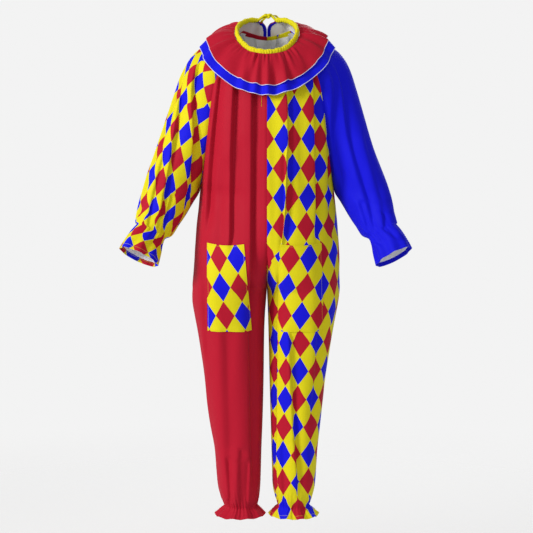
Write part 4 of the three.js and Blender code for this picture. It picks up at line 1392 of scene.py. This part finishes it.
# Neck band
BAND_STEPS = 540
BAND_SIDES = 24
BAND_PUCKERS = 66
BAND_PUCKER = 1.7
BAND_LUMPS = 21
BAND_LUMP = 0.9
BAND_SLIMS = 0.24
BAND_END_HIGH = 5.5
BAND_END_THICK = 3.6


def rolled_cloth(name, rings, look):
    """A rolled or tubular strip of cloth through rings of points, open at both ends."""
    outer = np.concatenate([rings, rings[:, :1]], axis=1)
    normals = normals_of(outer, -1)
    share_edge(normals, normals, slice(None), 0, -1)
    inner = outer - normals * CLOTH_THICK
    places = flat_place(distance_along(outer, 1), distance_along(outer, 0))
    edges = edge_places(outer, ("start", "end"))
    return cloth_shell(name, outer, inner, places, edges, (look,), 0, -1)


def thread_body(name, rings, look):
    """A small closed body through rings of points, with a fan over each end."""
    count, sides = rings.shape[:2]
    tips = [rings[0].mean(axis=0), rings[-1].mean(axis=0)]
    points = np.concatenate([rings.reshape(-1, 3), tips])
    faces = []
    for i in range(count - 1):
        for j in range(sides):
            k = (j + 1) % sides
            faces.append((i * sides + j, (i + 1) * sides + j, (i + 1) * sides + k, i * sides + k))
    first, last = count * sides, count * sides + 1
    end = (count - 1) * sides
    for j in range(sides):
        k = (j + 1) % sides
        faces.append((first, j, k))
        faces.append((last, end + k, end + j))
    mesh = bpy.data.meshes.new(name)
    mesh.from_pydata((points * MM).tolist(), [], faces)
    for layer in ("cloth", "edge"):
        mesh.uv_layers.new(name=layer)
    mesh.materials.append(LOOKS[look])
    mesh.shade_smooth()
    mesh.update()
    made = bpy.data.objects.new(name, mesh)
    bpy.context.scene.collection.objects.link(made)
    return made


def band_place(azimuth):
    """Middle line of the neck band."""
    row = collar_row(azimuth)
    x = row["ringR"] * np.sin(azimuth)
    y = COLLAR_CENTRE_Y - row["ringR"] * np.cos(azimuth)
    return np.stack([x, y, row["ringZ"]], axis=-1)


def band_limit():
    """Azimuth at which the band ends on each side of its gap at the back."""
    return np.pi - math.asin(BAND_BACK_GAP / collar_row(np.array([np.pi]))["ringR"][0])


def make_band():
    """The yellow casing, puckered all round and pinched at its ends."""
    limit = band_limit()
    azimuth = np.linspace(-limit, limit, BAND_STEPS + 1)
    centre = band_place(azimuth)
    along = unit(np.gradient(centre, axis=0))
    radial = np.stack([np.sin(azimuth), -np.cos(azimuth), 0 * azimuth], axis=-1)
    up = unit(np.cross(radial, along))
    out = np.cross(along, up)
    turn = np.linspace(0, 2 * np.pi, BAND_SIDES, endpoint=False)[None, :]
    a = azimuth[:, None]
    lump = BAND_LUMP * np.sin(BAND_LUMPS * a)
    wander = 0.7 * np.sin(3 * turn + 5 * a) + 0.5 * np.sin(9 * a)
    pucker = np.abs(np.sin(BAND_PUCKERS / 2 * a + wander)) ** 0.6 - 0.75
    pucker = BAND_PUCKER * pucker * (1 + 0.4 * np.sin(13 * a + 1))
    slim = 1 - BAND_SLIMS * smooth((np.abs(a) - 1.5) / 1.0)
    high = (BAND_HEIGHT / 2 + lump) * slim + pucker
    thick = BAND_THICK / 2 + lump / 2 + pucker
    ends = smooth((limit - np.abs(a)) / 0.05)
    high = mix(BAND_END_HIGH, high, ends)
    thick = mix(BAND_END_THICK, thick, ends)
    rings = centre[:, None] + up[:, None] * (np.cos(turn) * high)[..., None]
    rings = rings + out[:, None] * (np.sin(turn) * thick)[..., None]
    made = rolled_cloth("yellow_neck_band", rings, "yellow")
    dress(made, "neck_band")


make_band()

# Ties, knot and tails at the back of the neck
KNOT = point(3, 74, 54)
KNOT_SIZE = point(24, 13, 15)
KNOT_STRAND = 2.9
TIE_RADIUS = 3.4
TIE_LEAD = 6
TIE_STEPS = 26


def swept_tube(path, radius, sides):
    """Rings round a path, without twist."""
    along = unit(np.gradient(path, axis=0))
    wide = unit(np.cross(along, point(0.2, 1, 0.1)))
    high = np.cross(along, wide)
    turn = np.linspace(0, 2 * np.pi, sides, endpoint=False)[None, :]
    radius = np.broadcast_to(radius, (len(path),))[:, None]
    ring = wide[:, None] * (np.cos(turn) * radius)[..., None]
    return path[:, None] + ring + high[:, None] * (np.sin(turn) * radius)[..., None]


def make_tie(side, name, node):
    """The tape from one end of the band to the knot."""
    limit = side * band_limit()
    ends = band_place(np.array([limit, limit - side * 0.02]))
    leave = unit(ends[0] - ends[1])
    start = ends[0] - leave * 2
    arrive = point(-side, 0, 0)
    stop = KNOT - arrive * (KNOT_SIZE[0] / 2 - 3)
    path = curve(start, start + leave * TIE_LEAD, stop - arrive * TIE_LEAD, stop, TIE_STEPS)
    creases = TIE_RADIUS * (1 + 0.10 * np.sin(np.arange(TIE_STEPS + 1) * 1.7))
    made = rolled_cloth(name, swept_tube(path, creases, 14), "yellow")
    dress(made, node)


make_tie(RIGHT, "right_tie", "tie_right")
make_tie(LEFT, "left_tie", "tie_left")


def make_knot():
    """The knot, one strand through its own loops."""
    t = np.linspace(0, 2 * np.pi, 121)
    x = np.sin(t) + 1.6 * np.sin(2 * t)
    y = 0.8 * np.sin(3 * t)
    z = np.cos(t) - 1.6 * np.cos(2 * t)
    loop = np.stack([x, y, z], axis=1)
    half = KNOT_SIZE / 2 - 2.7
    loop = loop / np.abs(loop).max(axis=0) * half + KNOT
    made = rolled_cloth("back_knot", swept_tube(loop, KNOT_STRAND, 12), "yellow")
    dress(made, "tie_knot")


make_knot()

TAIL_COLUMNS = "azimuth leaveX leaveY leaveZ reach lift length"
TAILS = {
    "right": table(TAIL_COLUMNS, (-171, -4, 86, 50, 0.62, 1.0, 60)),
    "left": table(TAIL_COLUMNS, (156, 25, 85, 55, 0.8, 1.3, 90)),
}
TAIL_WIDTH = 9
TAIL_THICK = 1.1
TAIL_CURL = 0.5
TAIL_ROOT = 0.68
TAIL_LANDS = 0.1
TAIL_STEPS = 14
TAIL_COLUMN_COUNT = 9


def make_tail(key, name, node):
    """A flat tail that leaves the knot and lies on the collar."""
    tail = {column: values[0] for column, values in TAILS[key].items()}
    middle = math.radians(tail["azimuth"])
    out = point(tail["leaveX"], tail["leaveY"], tail["leaveZ"])
    across = point(math.cos(middle), math.sin(middle), 0)
    start = mix(KNOT, out, TAIL_ROOT)
    columns = np.linspace(-1, 1, TAIL_COLUMN_COUNT)
    rows = [start + across * TAIL_WIDTH / 2 * c for c in columns]
    grid = [rows, [out + across * TAIL_WIDTH / 2 * c for c in columns]]
    for t in np.linspace(TAIL_LANDS, tail["reach"], TAIL_STEPS):
        middle_point = collar_fall(np.array([middle]), np.array([t]), 0)[0]
        radius = np.linalg.norm(middle_point - point(0, COLLAR_CENTRE_Y, 0))
        turn = TAIL_WIDTH / 2 / radius
        steady = np.full(TAIL_COLUMN_COUNT, t)
        grid.append(collar_fall(middle + turn * columns, steady, -tail["lift"] - 0.4))
    inner = finer_rows(np.array(grid, float), [4, 5] + [2] * (TAIL_STEPS - 1))
    normals = normals_of(inner, -1)
    curl = TAIL_CURL * np.cos(columns * 2.5)[None, :, None]
    inner = inner + normals * curl
    outer = inner + normals * TAIL_THICK
    down = distance_along(inner, 0)
    places = flat_place(distance_along(inner, 1), down)
    edges = edge_places(outer, ("start", "end"))
    made = cloth_shell(name, outer, inner, places, edges, ("yellow",), 0, -1)
    dress(made, node)


make_tail("right", "right_tie_tail", "tie_tail_right")
make_tail("left", "left_tie_tail", "tie_tail_left")


# Short row of yellow stitches on the red front, below the collar
STITCH_X = -15.5
STITCH_TOP = -181
STITCH_LENGTH = 3.1
STITCH_GAP = 0.7
STITCH_COUNT = 8
STITCH_RADIUS = 0.55
STITCH_STEPS = 6


def make_stitches():
    """The row of stitches, each a short thread that dips at its ends."""
    flat = fronts[RIGHT].reshape(-1, 3)
    bodies = []
    for n in range(STITCH_COUNT):
        path = []
        for t in np.linspace(0, 1, STITCH_STEPS):
            z = STITCH_TOP - n * (STITCH_LENGTH + STITCH_GAP) - t * STITCH_LENGTH
            nearest = flat[np.argmin((flat[:, 0] - STITCH_X) ** 2 + (flat[:, 2] - z) ** 2)]
            path.append(point(STITCH_X, nearest[1] - 0.3 - 0.5 * math.sin(math.pi * t), z))
        taper = np.sin(np.pi * np.linspace(0.12, 0.88, STITCH_STEPS)) ** 0.5
        rings = swept_tube(np.array(path), STITCH_RADIUS * taper, 8)
        bodies.append(thread_body(f"front_stitch_{n}", rings, "yellow"))
    with bpy.context.temp_override(
        active_object=bodies[0], selected_editable_objects=bodies, object=bodies[0]
    ):
        bpy.ops.object.join()
    bodies[0].name = "front_stitch_row"
    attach(bodies[0], "root")


make_stitches()


# Studio: a wide pale floor that fades into the pale surround, and soft lights. Metres.
FLOOR_Z = -1.9
FLOOR_RADIUS = 12
FLOOR_SIDES = 96
FLOOR_FADES_FROM = 1.9
FLOOR_FADED_AT = 3.9
FLOOR_PAINT = (0.86, 0.86, 0.86)
SURROUND = (0.896, 0.896, 0.896)
SURROUND_LIGHT = 0.36


def make_floor():
    """Round floor whose paint fades out towards its rim."""
    mesh = bpy.data.meshes.new("studio_floor")
    turns = np.linspace(0, 2 * np.pi, FLOOR_SIDES, endpoint=False)
    rim = [(FLOOR_RADIUS * math.cos(a), FLOOR_RADIUS * math.sin(a), FLOOR_Z) for a in turns]
    mesh.from_pydata(rim, [], [tuple(range(FLOOR_SIDES))])
    floor = bpy.data.objects.new("studio_floor", mesh)
    bpy.context.scene.collection.objects.link(floor)
    material = bpy.data.materials.new("studio floor paint")
    material.use_nodes = True
    material.node_tree.nodes.clear()
    net = Net(material.node_tree)
    place = net.node("ShaderNodeNewGeometry").outputs["Position"]
    length = net.node("ShaderNodeVectorMath", operation="LENGTH")
    net.join(place, length.inputs[0])
    fade = net.soft_step(length.outputs["Value"], FLOOR_FADES_FROM, FLOOR_FADED_AT)
    paint = net.node("ShaderNodeBsdfDiffuse")
    paint.inputs["Color"].default_value = (*FLOOR_PAINT, 1)
    clear = net.node("ShaderNodeBsdfTransparent")
    both = net.node("ShaderNodeMixShader")
    net.join(fade, both.inputs[0])
    net.join(paint.outputs[0], both.inputs[1])
    net.join(clear.outputs[0], both.inputs[2])
    net.join(both.outputs[0], net.node("ShaderNodeOutputMaterial").inputs["Surface"])
    mesh.materials.append(material)


def soft_light(name, place, aim, size, watts, colour):
    """A round soft light that faces its aim."""
    data = bpy.data.lights.new(name, "AREA")
    data.shape = "DISK"
    data.size = size
    data.energy = watts
    data.color = colour
    light = bpy.data.objects.new(name, data)
    bpy.context.scene.collection.objects.link(light)
    light.location = place
    light.rotation_euler = (Vector(aim) - Vector(place)).to_track_quat("-Z", "Y").to_euler()


def make_world():
    """Even light from all round, and the surround that the camera sees."""
    world = bpy.data.worlds.new("studio surround")
    world.use_nodes = True
    world.node_tree.nodes.clear()
    net = Net(world.node_tree)
    seen = net.node("ShaderNodeBackground")
    seen.inputs["Color"].default_value = (*SURROUND, 1)
    lit = net.node("ShaderNodeBackground")
    lit.inputs["Color"].default_value = (1, 1, 1, 1)
    lit.inputs["Strength"].default_value = SURROUND_LIGHT
    both = net.node("ShaderNodeMixShader")
    net.join(net.node("ShaderNodeLightPath").outputs["Is Camera Ray"], both.inputs[0])
    net.join(lit.outputs[0], both.inputs[1])
    net.join(seen.outputs[0], both.inputs[2])
    net.join(both.outputs[0], net.node("ShaderNodeOutputWorld").inputs["Surface"])
    bpy.context.scene.world = world


make_floor()
make_world()
# Each light has its place, what it aims at, its size, its power in watts and its colour.
soft_light("key", (-4.2, -2.6, 1.2), (0, 0, -0.7), 1.7, 218, (1, 0.99, 0.98))
soft_light("top", (-0.5, -2.4, 2.2), (0, 0, -0.1), 1.4, 11, (1, 1, 1))
soft_light("fill", (2.6, -3.6, 0.2), (0, 0, -0.7), 2.6, 22, (0.97, 0.98, 1))
soft_light("back", (0.8, 3.4, 1.6), (0, 0, -0.6), 2.2, 90, (1, 1, 1))
bpy.context.scene.view_settings.view_transform = "Standard"
